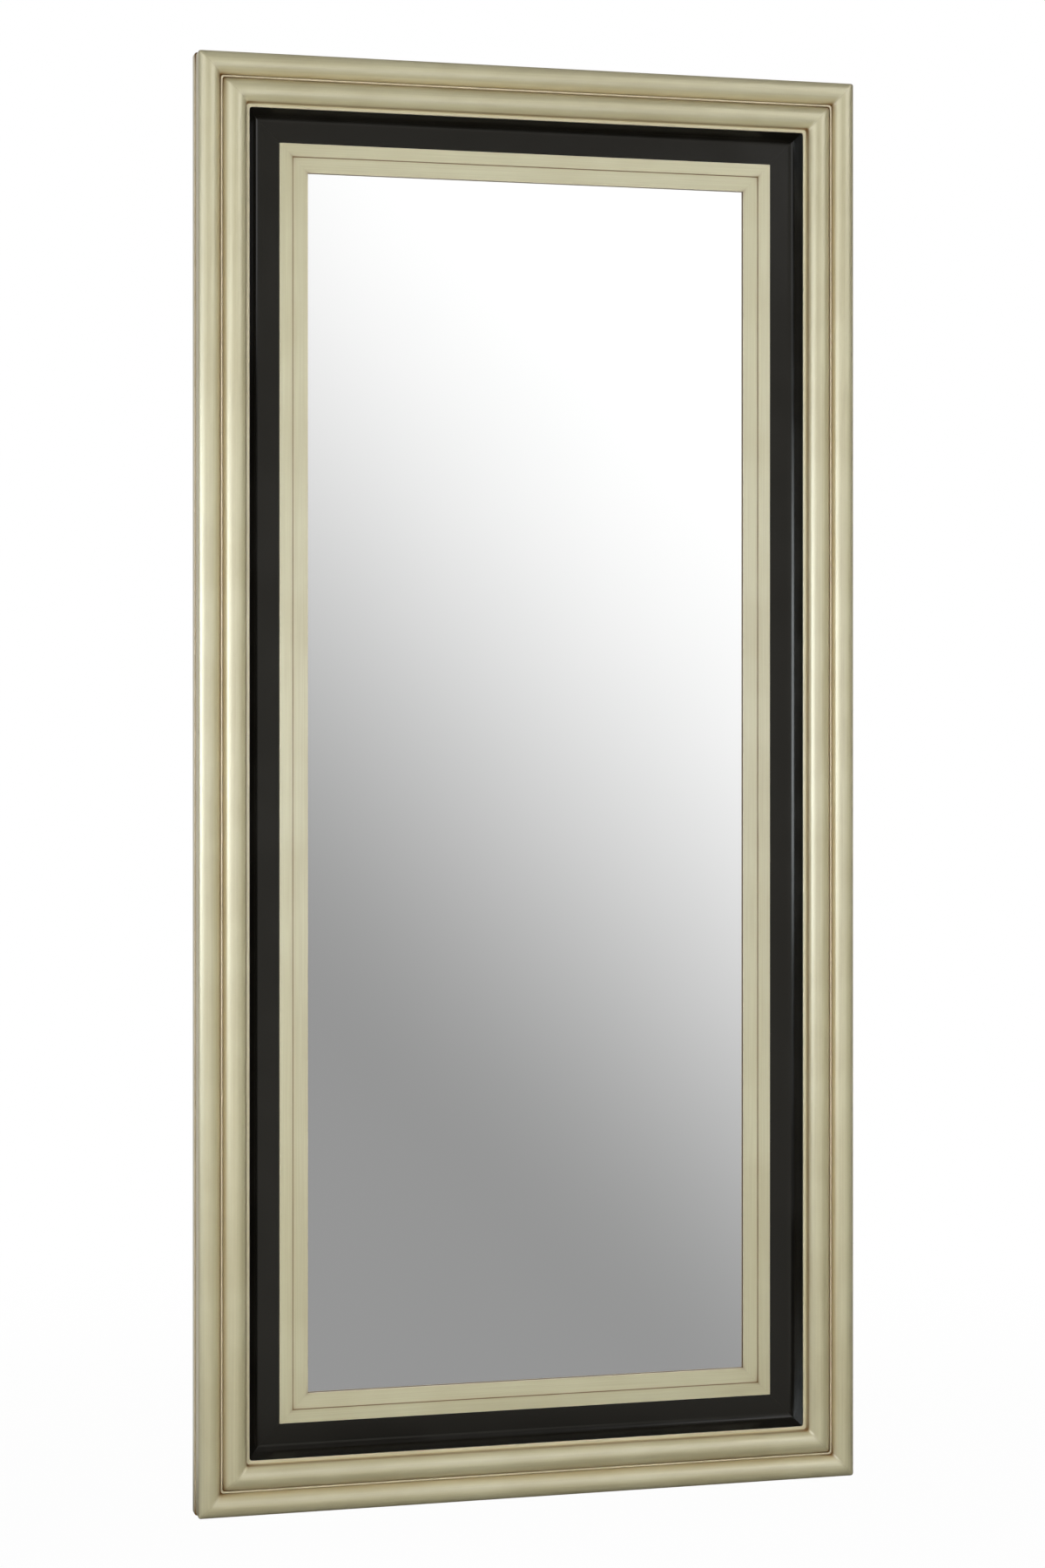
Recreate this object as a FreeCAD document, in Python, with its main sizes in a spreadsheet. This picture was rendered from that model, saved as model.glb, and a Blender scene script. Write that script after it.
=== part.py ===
import FreeCAD, Part
import math
import os
import Sketcher

# Full-length wall mirror: a stacked frame of three mitred mouldings around a mirror pane.
# The frame faces -Y, the wall is the plane y = 0, +Z is up and +X is to the viewer's right.
# The origin is the middle of the mirror on the wall plane.
# In a moulding's section, "line" is a distance in from the frame's outer edge
# and "height" is a distance in front of the frame's back.

SIZES = {
    # Clear view of the glass
    "sight_width": 600.0,
    "sight_height": 1600.0,
    # Outer moulding: back strip, outer bead, thin fillet between quirks, inner bead, lip
    "outer_face": 70.0,
    "back_strip_height": 16.0,
    "arris_round": 0.8,
    "ledge_width": 1.6,
    "outer_bead_width": 29.4,
    "shoulder_height": 40.0,
    "outer_crest_line": 14.8,
    "outer_crest_height": 46.5,
    "inner_crest_height": 46.0,
    "quirk_height": 33.0,
    "quirk_width": 0.6,
    "fillet_width": 2.0,
    "fillet_height": 36.5,
    "lip_width": 4.4,
    "lip_height": 30.0,
    "lip_round": 1.5,
    "lip_thickness": 3.5,
    # Black liner: splayed wall under the lip, round valley, flat
    "liner_overlap": 12.0,
    "liner_clearance": 0.3,
    "black_face": 42.0,
    "black_height": 11.3,
    "wall_run": 10.5,
    "valley_radius": 7.0,
    # Slip beside the glass: outer flat, fine step, inner flat that leans to the glass
    "slip_outer_width": 17.3,
    "slip_inner_width": 20.7,
    "slip_height": 13.8,
    "slip_step": 0.9,
    "slip_edge_height": 11.9,
    "slip_seat_height": 7.6,
    "slip_overlap": 12.0,
    "slip_clearance": 0.2,
    "sight_lip_thickness": 4.0,
    # Mirror pane, its edge packers and the backing board
    "glass_thickness": 4.0,
    "glass_cover": 9.0,
    "glass_clearance": 2.0,
    "packer_length": 40.0,
    "packer_margin": 150.0,
    "board_thickness": 3.0,
    "board_bearing": 10.0,
    "board_clearance": 0.5,
    "board_screw_margin": 50.0,
    "board_screw_diameter": 3.0,
    "board_screw_length": 9.5,
    "board_head_diameter": 6.0,
    "board_head_height": 1.8,
    # Steel plates on the back: one over each mitre, and short ones that hold the liner in
    "plate_thickness": 2.0,
    "corner_inset": 18.0,
    "corner_leg_length": 78.0,
    "corner_leg_width": 20.0,
    "corner_screw_first": 34.0,
    "corner_screw_second": 64.0,
    "clip_length": 52.0,
    "clip_width": 18.0,
    "clip_screw_spacing": 32.0,
    "clip_margin_tall": 240.0,
    "clip_margin_wide": 130.0,
    "plate_screw_diameter": 4.0,
    "plate_screw_length": 18.0,
    "plate_head_diameter": 7.6,
    "plate_head_height": 2.4,
    # Hangers on the stiles: a strap curled round the bar of a loose ring
    "hanger_drop": 450.0,
    "hanger_inset": 29.0,
    "strap_thickness": 1.5,
    "strap_width": 18.0,
    "strap_length": 74.0,
    "strap_screw_first": 36.0,
    "strap_screw_second": 60.0,
    "hanger_screw_length": 28.0,
    "ring_wire": 3.2,
    "ring_play": 0.3,
    "ring_width": 28.0,
    "ring_corner": 4.0,
    # Soft feet that keep the frame off the wall
    "bumper_height": 8.0,
    "bumper_diameter": 22.0,
    "bumper_round": 1.5,
    "bumper_margin": 160.0,
    # Screws: inward slope of a head's side, room round a shank in its hole and below its end
    "head_slope": 0.5,
    "screw_fit": 0.05,
    "plate_hole_play": 0.3,
    "tip_room": 1.0,
}

BOARD_SCREW_COUNT_TALL = 7
BOARD_SCREW_COUNT_WIDE = 3
SIDES = ("top", "bottom", "left", "right")

document = FreeCAD.newDocument("WallMirror")
sheet = document.addObject("Spreadsheet::Sheet", "Sizes")
for row, (alias, number) in enumerate(SIZES.items(), start=1):
    sheet.set(f"A{row}", str(number))
    sheet.setAlias(f"A{row}", alias)
document.recompute()

# Lines and heights that follow from the sizes
OUTER_BEAD_END = "(Sizes.ledge_width + Sizes.outer_bead_width)"
FILLET_START = f"({OUTER_BEAD_END} + Sizes.quirk_width)"
FILLET_END = f"({FILLET_START} + Sizes.fillet_width)"
INNER_BEAD_START = f"({FILLET_END} + Sizes.quirk_width)"
INNER_BEAD_END = "(Sizes.outer_face - Sizes.lip_width)"
LIP_UNDERSIDE = "(Sizes.lip_height - Sizes.lip_thickness)"
LINER_REBATE = "(Sizes.outer_face - Sizes.liner_overlap)"
SLIP_LINE = "(Sizes.outer_face + Sizes.black_face)"
STEP_LINE = f"({SLIP_LINE} + Sizes.slip_outer_width)"
SIGHT_LINE = f"({STEP_LINE} + Sizes.slip_inner_width)"
LINER_END = f"({SLIP_LINE} + Sizes.slip_overlap)"
BOARD_REBATE = f"({LINER_END} - Sizes.board_bearing)"
GLASS_REBATE = f"({SIGHT_LINE} - Sizes.glass_cover)"
GLASS_FRONT = "(Sizes.slip_edge_height - Sizes.sight_lip_thickness)"
GLASS_BACK = f"({GLASS_FRONT} - Sizes.glass_thickness)"
OVERALL_WIDTH = f"(Sizes.sight_width + 2 * {SIGHT_LINE})"
OVERALL_HEIGHT = f"(Sizes.sight_height + 2 * {SIGHT_LINE})"
BARREL_RADIUS = "(Sizes.ring_wire / 2 + Sizes.ring_play + Sizes.strap_thickness)"
HANGER_LEVEL = f"({OVERALL_HEIGHT} / 2 - Sizes.hanger_drop)"
BOARD_SCREW_LINE = f"(({LINER_END} + Sizes.slip_clearance + {GLASS_REBATE}) / 2)"
CORNER_SCREW_LINE = "(Sizes.corner_inset + Sizes.corner_leg_width / 2)"
CLIP_OUTER_LINE = f"({LINER_REBATE} - Sizes.clip_screw_spacing / 2)"
CLIP_LINER_LINE = f"({LINER_REBATE} + Sizes.clip_screw_spacing / 2)"
CLIP_TALL = "(Sizes.sight_height / 2 - Sizes.clip_margin_tall)"
CLIP_WIDE = "(Sizes.sight_width / 2 - Sizes.clip_margin_wide)"


def value(expression):
    """The number that an expression over the sheet gives."""
    return float(sheet.evalExpression(expression))


def origin_plane(body, role):
    return [plane for plane in body.Origin.OriginFeatures if plane.Role == role][0]


def new_sketch(body, name, role):
    sketch = body.newObject("Sketcher::SketchObject", name)
    sketch.AttachmentSupport = [(origin_plane(body, role), "")]
    sketch.MapMode = "FlatFace"
    return sketch


def new_body(label):
    body = document.addObject("PartDesign::Body", label)
    body.Label = label
    return body


def bind(sketch, constraint, expression):
    index = sketch.addConstraint(constraint)
    sketch.setExpression(f"Constraints[{index}]", expression)


def pin_coordinate(sketch, geometry, end, kind, expression):
    """Fix one coordinate of a sketch point to an expression measured from the sketch's origin."""
    if expression == "0":
        axis = -2 if kind == "DistanceX" else -1
        sketch.addConstraint(Sketcher.Constraint("PointOnObject", geometry, end, axis))
        return
    number = value(expression)
    if number >= 0:
        constraint = Sketcher.Constraint(kind, -1, 1, geometry, end, number)
        bind(sketch, constraint, expression)
    else:
        constraint = Sketcher.Constraint(kind, geometry, end, -1, 1, -number)
        bind(sketch, constraint, f"-({expression})")


def pin_point(sketch, geometry, end, point):
    pin_coordinate(sketch, geometry, end, "DistanceX", point[0])
    pin_coordinate(sketch, geometry, end, "DistanceY", point[1])


def line(to):
    return {"to": to, "centre": None}


def arc(to, centre, turn):
    """An arc to a point about a centre, turning left or right along the outline."""
    return {"to": to, "centre": centre, "turn": turn}


def numbers(point):
    return FreeCAD.Vector(value(point[0]), value(point[1]), 0)


def arc_geometry(start, finish, centre, turn):
    first = math.atan2(start.y - centre.y, start.x - centre.x)
    last = math.atan2(finish.y - centre.y, finish.x - centre.x)
    if turn == "right":
        first, last = last, first
    if last <= first:
        last += 2 * math.pi
    circle = Part.Circle(centre, FreeCAD.Vector(0, 0, 1), start.distanceToPoint(centre))
    return Part.ArcOfCircle(circle, first, last)


def pin_arc_centre(sketch, geometry, chord, centre):
    """The ends leave an arc's centre free along one line, so one coordinate fixes it."""
    if abs(chord.y) > abs(chord.x):
        pin_coordinate(sketch, geometry, 3, "DistanceX", centre[0])
    else:
        pin_coordinate(sketch, geometry, 3, "DistanceY", centre[1])


def draw_outline(sketch, steps):
    """Draw a closed outline. It starts where its last step ends, and every corner is pinned."""
    ends = []
    start = steps[-1]["to"]
    for step in steps:
        begin = numbers(start)
        finish = numbers(step["to"])
        if step["centre"] is None:
            index = sketch.addGeometry(Part.LineSegment(begin, finish))
            ends.append((index, 1, 2))
        else:
            shape = arc_geometry(begin, finish, numbers(step["centre"]), step["turn"])
            index = sketch.addGeometry(shape)
            ends.append((index, 1, 2) if step["turn"] == "left" else (index, 2, 1))
        start = step["to"]
    for (before, _, leaving), (after, entering, _) in zip(ends, ends[1:] + ends[:1]):
        sketch.addConstraint(Sketcher.Constraint("Coincident", before, leaving, after, entering))
    for before, step, (index, _, last) in zip(steps[-1:] + steps[:-1], steps, ends):
        pin_point(sketch, index, last, step["to"])
        if step["centre"] is not None:
            pin_arc_centre(sketch, index, numbers(step["to"]) - numbers(before["to"]), step["centre"])


def draw_circle(sketch, centre, diameter):
    point = numbers(centre)
    circle = Part.Circle(point, FreeCAD.Vector(0, 0, 1), value(diameter) / 2)
    index = sketch.addGeometry(circle)
    pin_point(sketch, index, 3, centre)
    bind(sketch, Sketcher.Constraint("Diameter", index, value(diameter)), diameter)


def pad(body, sketch, length, symmetric=False):
    feature = body.newObject("PartDesign::Pad", "Pad")
    feature.Profile = sketch
    feature.SideType = "Symmetric" if symmetric else "One side"
    feature.setExpression("Length", length)
    return feature


def pocket(body, sketch, length=None, reverse=False):
    """Cut a sketch through the whole body, or to a depth."""
    feature = body.newObject("PartDesign::Pocket", "Pocket")
    feature.Profile = sketch
    feature.Reversed = reverse
    if length is None:
        feature.Type = "ThroughAll"
    else:
        feature.setExpression("Length", length)
    return feature


def revolve_about_y(body, steps):
    sketch = new_sketch(body, "HalfSection", "XY_Plane")
    draw_outline(sketch, steps)
    turn = body.newObject("PartDesign::Revolution", "Turn")
    turn.Profile = sketch
    turn.ReferenceAxis = (sketch, ["V_Axis"])
    turn.Angle = 360.0
    return turn


def place(body, x, y, z, axis=(0, 1, 0), degrees=0.0):
    rotation = FreeCAD.Rotation(FreeCAD.Vector(*axis), degrees)
    body.Placement = FreeCAD.Placement(FreeCAD.Vector(0, 0, 0), rotation)
    for name, expression in zip("xyz", (x, y, z)):
        body.setExpression(f"Placement.Base.{name}", expression)


# Sections of the three mouldings, as (height, line) corners

def bead(start, finish, crest):
    """A round bead that springs from the quirks and reaches its crest midway."""
    half_width = f"(({finish} - {start}) / 2)"
    rise = f"({crest} - Sizes.quirk_height)"
    radius = f"(({half_width} * {half_width} + {rise} * {rise}) / (2 * {rise}))"
    centre = (f"({crest} - {radius})", f"(({start} + {finish}) / 2)")
    return arc(("Sizes.quirk_height", finish), centre, "left")


def bead_half(to, crest_line, crest, foot_line, foot_height):
    """Half of a bead: an arc between its crest and a foot, level at the crest."""
    run = f"({crest_line} - {foot_line})"
    drop = f"({crest} - {foot_height})"
    radius = f"(({run} * {run} + {drop} * {drop}) / (2 * {drop}))"
    return arc(to, (f"({crest} - {radius})", crest_line), "left")


def shouldered_bead():
    """The outer bead: from a square shoulder over its crest to a quirk."""
    crest = ("Sizes.outer_crest_height", "Sizes.outer_crest_line")
    quirk = ("Sizes.quirk_height", OUTER_BEAD_END)
    return [
        line(("Sizes.shoulder_height", "Sizes.ledge_width")),
        bead_half(crest, crest[1], crest[0], "Sizes.ledge_width", "Sizes.shoulder_height"),
        bead_half(quirk, crest[1], crest[0], quirk[1], quirk[0]),
    ]


def outer_section():
    arris_height = "(Sizes.back_strip_height - Sizes.arris_round)"
    lip_round_line = "(Sizes.outer_face - Sizes.lip_round)"
    lip_round_height = "(Sizes.lip_height - Sizes.lip_round)"
    return [
        line((arris_height, "0")),
        arc(
            ("Sizes.back_strip_height", "Sizes.arris_round"),
            (arris_height, "Sizes.arris_round"), "left",
        ),
        line(("Sizes.back_strip_height", "Sizes.ledge_width")),
        *shouldered_bead(),
        line(("Sizes.quirk_height", FILLET_START)),
        line(("Sizes.fillet_height", FILLET_START)),
        line(("Sizes.fillet_height", FILLET_END)),
        line(("Sizes.quirk_height", FILLET_END)),
        line(("Sizes.quirk_height", INNER_BEAD_START)),
        bead(INNER_BEAD_START, INNER_BEAD_END, "Sizes.inner_crest_height"),
        line(("Sizes.lip_height", INNER_BEAD_END)),
        line(("Sizes.lip_height", lip_round_line)),
        arc((lip_round_height, "Sizes.outer_face"), (lip_round_height, lip_round_line), "left"),
        line((LIP_UNDERSIDE, "Sizes.outer_face")),
        line((LIP_UNDERSIDE, LINER_REBATE)),
        line(("0", LINER_REBATE)),
        line(("0", "0")),
    ]


def liner_section():
    drop = f"({LIP_UNDERSIDE} - Sizes.black_height)"
    slope = f"atan({drop} / Sizes.wall_run)"
    tangent = f"(Sizes.valley_radius * tan({slope} / 2))"
    foot = "(Sizes.outer_face + Sizes.wall_run)"
    wall_end = (
        f"(Sizes.black_height + {tangent} * sin({slope}))",
        f"({foot} - {tangent} * cos({slope}))",
    )
    flat_start = ("Sizes.black_height", f"({foot} + {tangent})")
    valley_centre = ("(Sizes.black_height + Sizes.valley_radius)", flat_start[1])
    hidden_edge = f"({LINER_REBATE} + Sizes.liner_clearance)"
    return [
        line((LIP_UNDERSIDE, hidden_edge)),
        line((LIP_UNDERSIDE, "Sizes.outer_face")),
        line(wall_end),
        arc(flat_start, valley_centre, "right"),
        line(("Sizes.black_height", SLIP_LINE)),
        line(("Sizes.slip_seat_height", SLIP_LINE)),
        line(("Sizes.slip_seat_height", LINER_END)),
        line((GLASS_BACK, LINER_END)),
        line((GLASS_BACK, BOARD_REBATE)),
        line(("0", BOARD_REBATE)),
        line(("0", hidden_edge)),
    ]


def slip_section():
    outer_edge = f"({SLIP_LINE} + Sizes.slip_clearance)"
    inner_wall = f"({LINER_END} + Sizes.slip_clearance)"
    return [
        line(("Sizes.slip_height", outer_edge)),
        line(("Sizes.slip_height", STEP_LINE)),
        line(("(Sizes.slip_height - Sizes.slip_step)", STEP_LINE)),
        line(("Sizes.slip_edge_height", SIGHT_LINE)),
        line((GLASS_FRONT, SIGHT_LINE)),
        line((GLASS_FRONT, GLASS_REBATE)),
        line((GLASS_BACK, GLASS_REBATE)),
        line((GLASS_BACK, inner_wall)),
        line(("Sizes.slip_seat_height", inner_wall)),
        line(("Sizes.slip_seat_height", outer_edge)),
    ]


# Rails: each is a length of moulding, mitred at both ends and drilled from the back.
# A rail's own X runs along it, Y points to the front and Z points in from its outer edge.

RAIL_PLACES = {
    "bottom": ("0", f"-{OVERALL_HEIGHT} / 2", (0, 0, 1)),
    "top": ("0", f"{OVERALL_HEIGHT} / 2", (1, 0, 0)),
    "left": (f"-{OVERALL_WIDTH} / 2", "0", (1, 0, 1)),
    "right": (f"{OVERALL_WIDTH} / 2", "0", (1, 0, -1)),
}


def is_stile(side):
    return side in ("left", "right")


def rail_length(side):
    return OVERALL_HEIGHT if is_stile(side) else OVERALL_WIDTH


def draw_mitre_cuts(sketch, length):
    """A triangle at each end takes the rail back by as much as it comes in."""
    inner_end = f"({length} / 2 - {SIGHT_LINE})"
    for sign in ("", "-"):
        corners = [
            line((f"{sign}{length} / 2", SIGHT_LINE)),
            line((f"{sign}{inner_end}", SIGHT_LINE)),
            line((f"{sign}{length} / 2", "0")),
        ]
        draw_outline(sketch, corners)


def make_rail(family, side, section, holes, hole_diameter, hole_depth):
    """A mitred rail. The holes are (distance along, line) pairs from the rail's middle."""
    body = new_body(f"{family}_{side}")
    length = rail_length(side)
    profile = new_sketch(body, "Section", "YZ_Plane")
    draw_outline(profile, section)
    pad(body, profile, length, symmetric=True)
    mitres = new_sketch(body, "Mitres", "XZ_Plane")
    draw_mitre_cuts(mitres, length)
    pocket(body, mitres)
    if holes:
        drilling = new_sketch(body, "Holes", "XZ_Plane")
        for hole in holes:
            draw_circle(drilling, hole, hole_diameter)
        pocket(body, drilling, hole_depth)
    x, z, axis = RAIL_PLACES[side]
    place(body, x, "-Sizes.bumper_height", z, axis, 180.0)
    return body


def both_ways(expressions):
    return [sign + expression for expression in expressions for sign in ("", "-")]


def clip_stations(side):
    if is_stile(side):
        return ["0"] + both_ways([CLIP_TALL])
    return both_ways([CLIP_WIDE])


def corner_screw_stations(side):
    screws = ("Sizes.corner_screw_first", "Sizes.corner_screw_second")
    return both_ways(
        [f"({rail_length(side)} / 2 - Sizes.corner_inset - {screw})" for screw in screws]
    )


def hanger_screw_stations(side):
    if not is_stile(side):
        return []
    sign = "" if side == "left" else "-"
    screws = ("Sizes.strap_screw_first", "Sizes.strap_screw_second")
    return [f"{sign}({HANGER_LEVEL} - {screw})" for screw in screws]


def board_screw_stations(side):
    tall = is_stile(side)
    count = BOARD_SCREW_COUNT_TALL if tall else BOARD_SCREW_COUNT_WIDE
    span = "Sizes.sight_height" if tall else "Sizes.sight_width"
    step = f"(({span} - 2 * Sizes.board_screw_margin) / {count - 1})"
    middle = (count - 1) // 2
    outward = [f"({place_number} * {step})" for place_number in range(1, middle + 1)]
    return ["0"] + both_ways(outward)


PLATE_HOLE = "(Sizes.plate_screw_diameter + 2 * Sizes.screw_fit)"
PLATE_HOLE_DEPTH = "(Sizes.plate_screw_length - Sizes.plate_thickness + Sizes.tip_room)"
HANGER_HOLE_DEPTH = "(Sizes.hanger_screw_length - Sizes.strap_thickness + Sizes.tip_room)"
BOARD_HOLE = "(Sizes.board_screw_diameter + 2 * Sizes.screw_fit)"
BOARD_HOLE_DEPTH = (
    f"({GLASS_BACK} + Sizes.board_screw_length - Sizes.board_thickness + Sizes.screw_fit)"
)


def make_outer_moulding(side):
    holes = [(station, CORNER_SCREW_LINE) for station in corner_screw_stations(side)]
    holes += [(station, CLIP_OUTER_LINE) for station in clip_stations(side)]
    body = make_rail("outer_moulding", side, outer_section(), holes, PLATE_HOLE, PLATE_HOLE_DEPTH)
    if is_stile(side):
        drilling = new_sketch(body, "HangerHoles", "XZ_Plane")
        for station in hanger_screw_stations(side):
            draw_circle(drilling, (station, "Sizes.hanger_inset"), PLATE_HOLE)
        pocket(body, drilling, HANGER_HOLE_DEPTH)
    return body


def make_black_liner(side):
    holes = [(station, CLIP_LINER_LINE) for station in clip_stations(side)]
    return make_rail("black_liner", side, liner_section(), holes, PLATE_HOLE, PLATE_HOLE_DEPTH)


def make_slip(side):
    holes = [(station, BOARD_SCREW_LINE) for station in board_screw_stations(side)]
    return make_rail("slip", side, slip_section(), holes, BOARD_HOLE, BOARD_HOLE_DEPTH)


# Pane and backing board

def draw_rectangle(sketch, half_width, half_height):
    draw_outline(sketch, [
        line((half_width, f"-{half_height}")),
        line((half_width, half_height)),
        line((f"-{half_width}", half_height)),
        line((f"-{half_width}", f"-{half_height}")),
    ])


def half_sizes(inset):
    return f"({OVERALL_WIDTH} / 2 - {inset})", f"({OVERALL_HEIGHT} / 2 - {inset})"


GLASS_EDGE = f"({GLASS_REBATE} + Sizes.glass_clearance)"
BOARD_EDGE = f"({BOARD_REBATE} + Sizes.board_clearance)"


def make_mirror_glass():
    """The silvered pane, which lies against the back of the slip's sight edge."""
    body = new_body("mirror_glass")
    outline = new_sketch(body, "Pane", "XZ_Plane")
    draw_rectangle(outline, *half_sizes(GLASS_EDGE))
    pad(body, outline, "Sizes.glass_thickness")
    place(body, "0", f"-Sizes.bumper_height - {GLASS_BACK}", "0")
    return body


def make_backing_board():
    """A thin board behind the pane, screwed to the slip through its edge."""
    body = new_body("backing_board")
    outline = new_sketch(body, "Panel", "XZ_Plane")
    draw_rectangle(outline, *half_sizes(BOARD_EDGE))
    pad(body, outline, "Sizes.board_thickness")
    drilling = new_sketch(body, "ScrewHoles", "XZ_Plane")
    for x, z in (row_point(side, *spot) for side, *spot in board_screw_spots()):
        draw_circle(drilling, (x, z), BOARD_HOLE)
    pocket(body, drilling, reverse=True)
    board_back = f"-Sizes.bumper_height - {GLASS_BACK} + Sizes.board_thickness"
    place(body, "0", board_back, "0")
    return body


def row_point(side, along, inward):
    """The X and Z of a point given along a rail and in from its outer edge."""
    if side == "left":
        return f"({inward} - {OVERALL_WIDTH} / 2)", f"({along})"
    if side == "right":
        return f"({OVERALL_WIDTH} / 2 - {inward})", f"(-({along}))"
    if side == "top":
        return f"({along})", f"({OVERALL_HEIGHT} / 2 - {inward})"
    return f"(-({along}))", f"({inward} - {OVERALL_HEIGHT} / 2)"


def board_screw_spots():
    return [
        (side, station, BOARD_SCREW_LINE)
        for side in SIDES
        for station in board_screw_stations(side)
    ]


def plate_screw_spots():
    spots = []
    for side in SIDES:
        spots += [(side, station, CORNER_SCREW_LINE) for station in corner_screw_stations(side)]
        for station in clip_stations(side):
            spots += [(side, station, CLIP_OUTER_LINE), (side, station, CLIP_LINER_LINE)]
    return spots


def hanger_screw_spots():
    return [
        (side, station, "Sizes.hanger_inset")
        for side in ("left", "right")
        for station in hanger_screw_stations(side)
    ]


def bumper_spots():
    station = f"({OVERALL_HEIGHT} / 2 - Sizes.bumper_margin)"
    return [
        (side, along, "Sizes.hanger_inset")
        for side in ("left", "right")
        for along in both_ways([station])
    ]


def clip_spots():
    return [
        (side, station, LINER_REBATE)
        for side in SIDES
        for station in clip_stations(side)
    ]


# Fasteners, clips, packers and feet: one pattern piece each, copied to its places

def screw_pattern(label, diameter, length, head_diameter, head_height):
    """A screw along Y, with its head's seat at y = 0 and its tip towards -Y."""
    body = new_body(label)
    shank = f"({diameter} / 2)"
    head = f"({head_diameter} / 2)"
    crown = f"({head} - Sizes.head_slope * {head_height})"
    revolve_about_y(body, [
        line((shank, f"-{length}")),
        line((shank, "0")),
        line((head, "0")),
        line((crown, head_height)),
        line(("0", head_height)),
        line(("0", f"-{length}")),
    ])
    return body


def clip_pattern():
    """A flat steel strip with two screw holes, lying across the outer moulding and the liner."""
    body = new_body("clip_pattern")
    outline = new_sketch(body, "Strip", "XZ_Plane")
    draw_rectangle(outline, "(Sizes.clip_width / 2)", "(Sizes.clip_length / 2)")
    hole = "(Sizes.plate_screw_diameter + Sizes.plate_hole_play)"
    for sign in ("", "-"):
        draw_circle(outline, ("0", f"{sign}Sizes.clip_screw_spacing / 2"), hole)
    feature = pad(body, outline, "Sizes.plate_thickness")
    feature.Reversed = True
    return body


def bumper_pattern():
    """A soft foot with a rounded rim, from the frame's back to the wall."""
    body = new_body("bumper_pattern")
    radius = "(Sizes.bumper_diameter / 2)"
    flat = f"({radius} - Sizes.bumper_round)"
    shoulder = "(Sizes.bumper_height - Sizes.bumper_round)"
    revolve_about_y(body, [
        line((radius, "0")),
        line((radius, shoulder)),
        arc((flat, "Sizes.bumper_height"), (flat, shoulder), "left"),
        line(("0", "Sizes.bumper_height")),
        line(("0", "0")),
    ])
    return body


def packer_pattern():
    """A strip that fills the room between the pane's edge and the slip's rebate."""
    body = new_body("packer_pattern")
    outline = new_sketch(body, "Block", "XZ_Plane")
    draw_rectangle(outline, "(Sizes.packer_length / 2)", "(Sizes.glass_clearance / 2)")
    pad(body, outline, "Sizes.glass_thickness")
    return body


def copies(label, pattern, spots, height, turned=False):
    """Copies of a pattern piece at points of the rails, as one sub-part."""
    shapes = []
    for side, along, inward in spots:
        x, z = (value(expression) for expression in row_point(side, along, inward))
        quarter = 90.0 if turned and is_stile(side) else 0.0
        rotation = FreeCAD.Rotation(FreeCAD.Vector(0, 1, 0), quarter)
        spot = FreeCAD.Vector(x, value(height), z)
        shape = pattern.Shape.copy()
        shape.Placement = FreeCAD.Placement(spot, rotation).multiply(shape.Placement)
        shapes.append(shape)
    group = document.addObject("Part::Feature", label)
    group.Label = label
    group.Shape = Part.makeCompound(shapes)
    return group


def packer_spots():
    line_across = f"({GLASS_EDGE} - Sizes.glass_clearance / 2)"
    spots = []
    for side in SIDES:
        span = "Sizes.sight_height" if is_stile(side) else "Sizes.sight_width"
        station = f"({span} / 2 - Sizes.packer_margin)"
        spots += [(side, along, line_across) for along in both_ways([station])]
    return spots


# Corner plates and hangers

CORNER_TURNS = {
    "bottom_left": ("left", "bottom", 0.0),
    "bottom_right": ("right", "bottom", -90.0),
    "top_right": ("right", "top", 180.0),
    "top_left": ("left", "top", 90.0),
}


def make_corner_plate(corner):
    """A flat steel angle across one mitre, with two screws in each leg."""
    stile, rail, degrees = CORNER_TURNS[corner]
    body = new_body(f"corner_plate_{corner}")
    outline = new_sketch(body, "Angle", "XZ_Plane")
    length = "Sizes.corner_leg_length"
    width = "Sizes.corner_leg_width"
    draw_outline(outline, [
        line((length, "0")),
        line((length, width)),
        line((width, width)),
        line((width, length)),
        line(("0", length)),
        line(("0", "0")),
    ])
    hole = "(Sizes.plate_screw_diameter + Sizes.plate_hole_play)"
    middle = f"({width} / 2)"
    for distance in ("Sizes.corner_screw_first", "Sizes.corner_screw_second"):
        draw_circle(outline, (distance, middle), hole)
        draw_circle(outline, (middle, distance), hole)
    feature = pad(body, outline, "Sizes.plate_thickness")
    feature.Reversed = True
    x = f"{'-' if stile == 'left' else ''}({OVERALL_WIDTH} / 2 - Sizes.corner_inset)"
    z = f"{'-' if rail == 'bottom' else ''}({OVERALL_HEIGHT} / 2 - Sizes.corner_inset)"
    place(body, x, "-Sizes.bumper_height", z, (0, 1, 0), degrees)
    return body


def hanger_x(side):
    sign = "-" if side == "left" else ""
    return f"{sign}({OVERALL_WIDTH} / 2 - Sizes.hanger_inset)"


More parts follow.
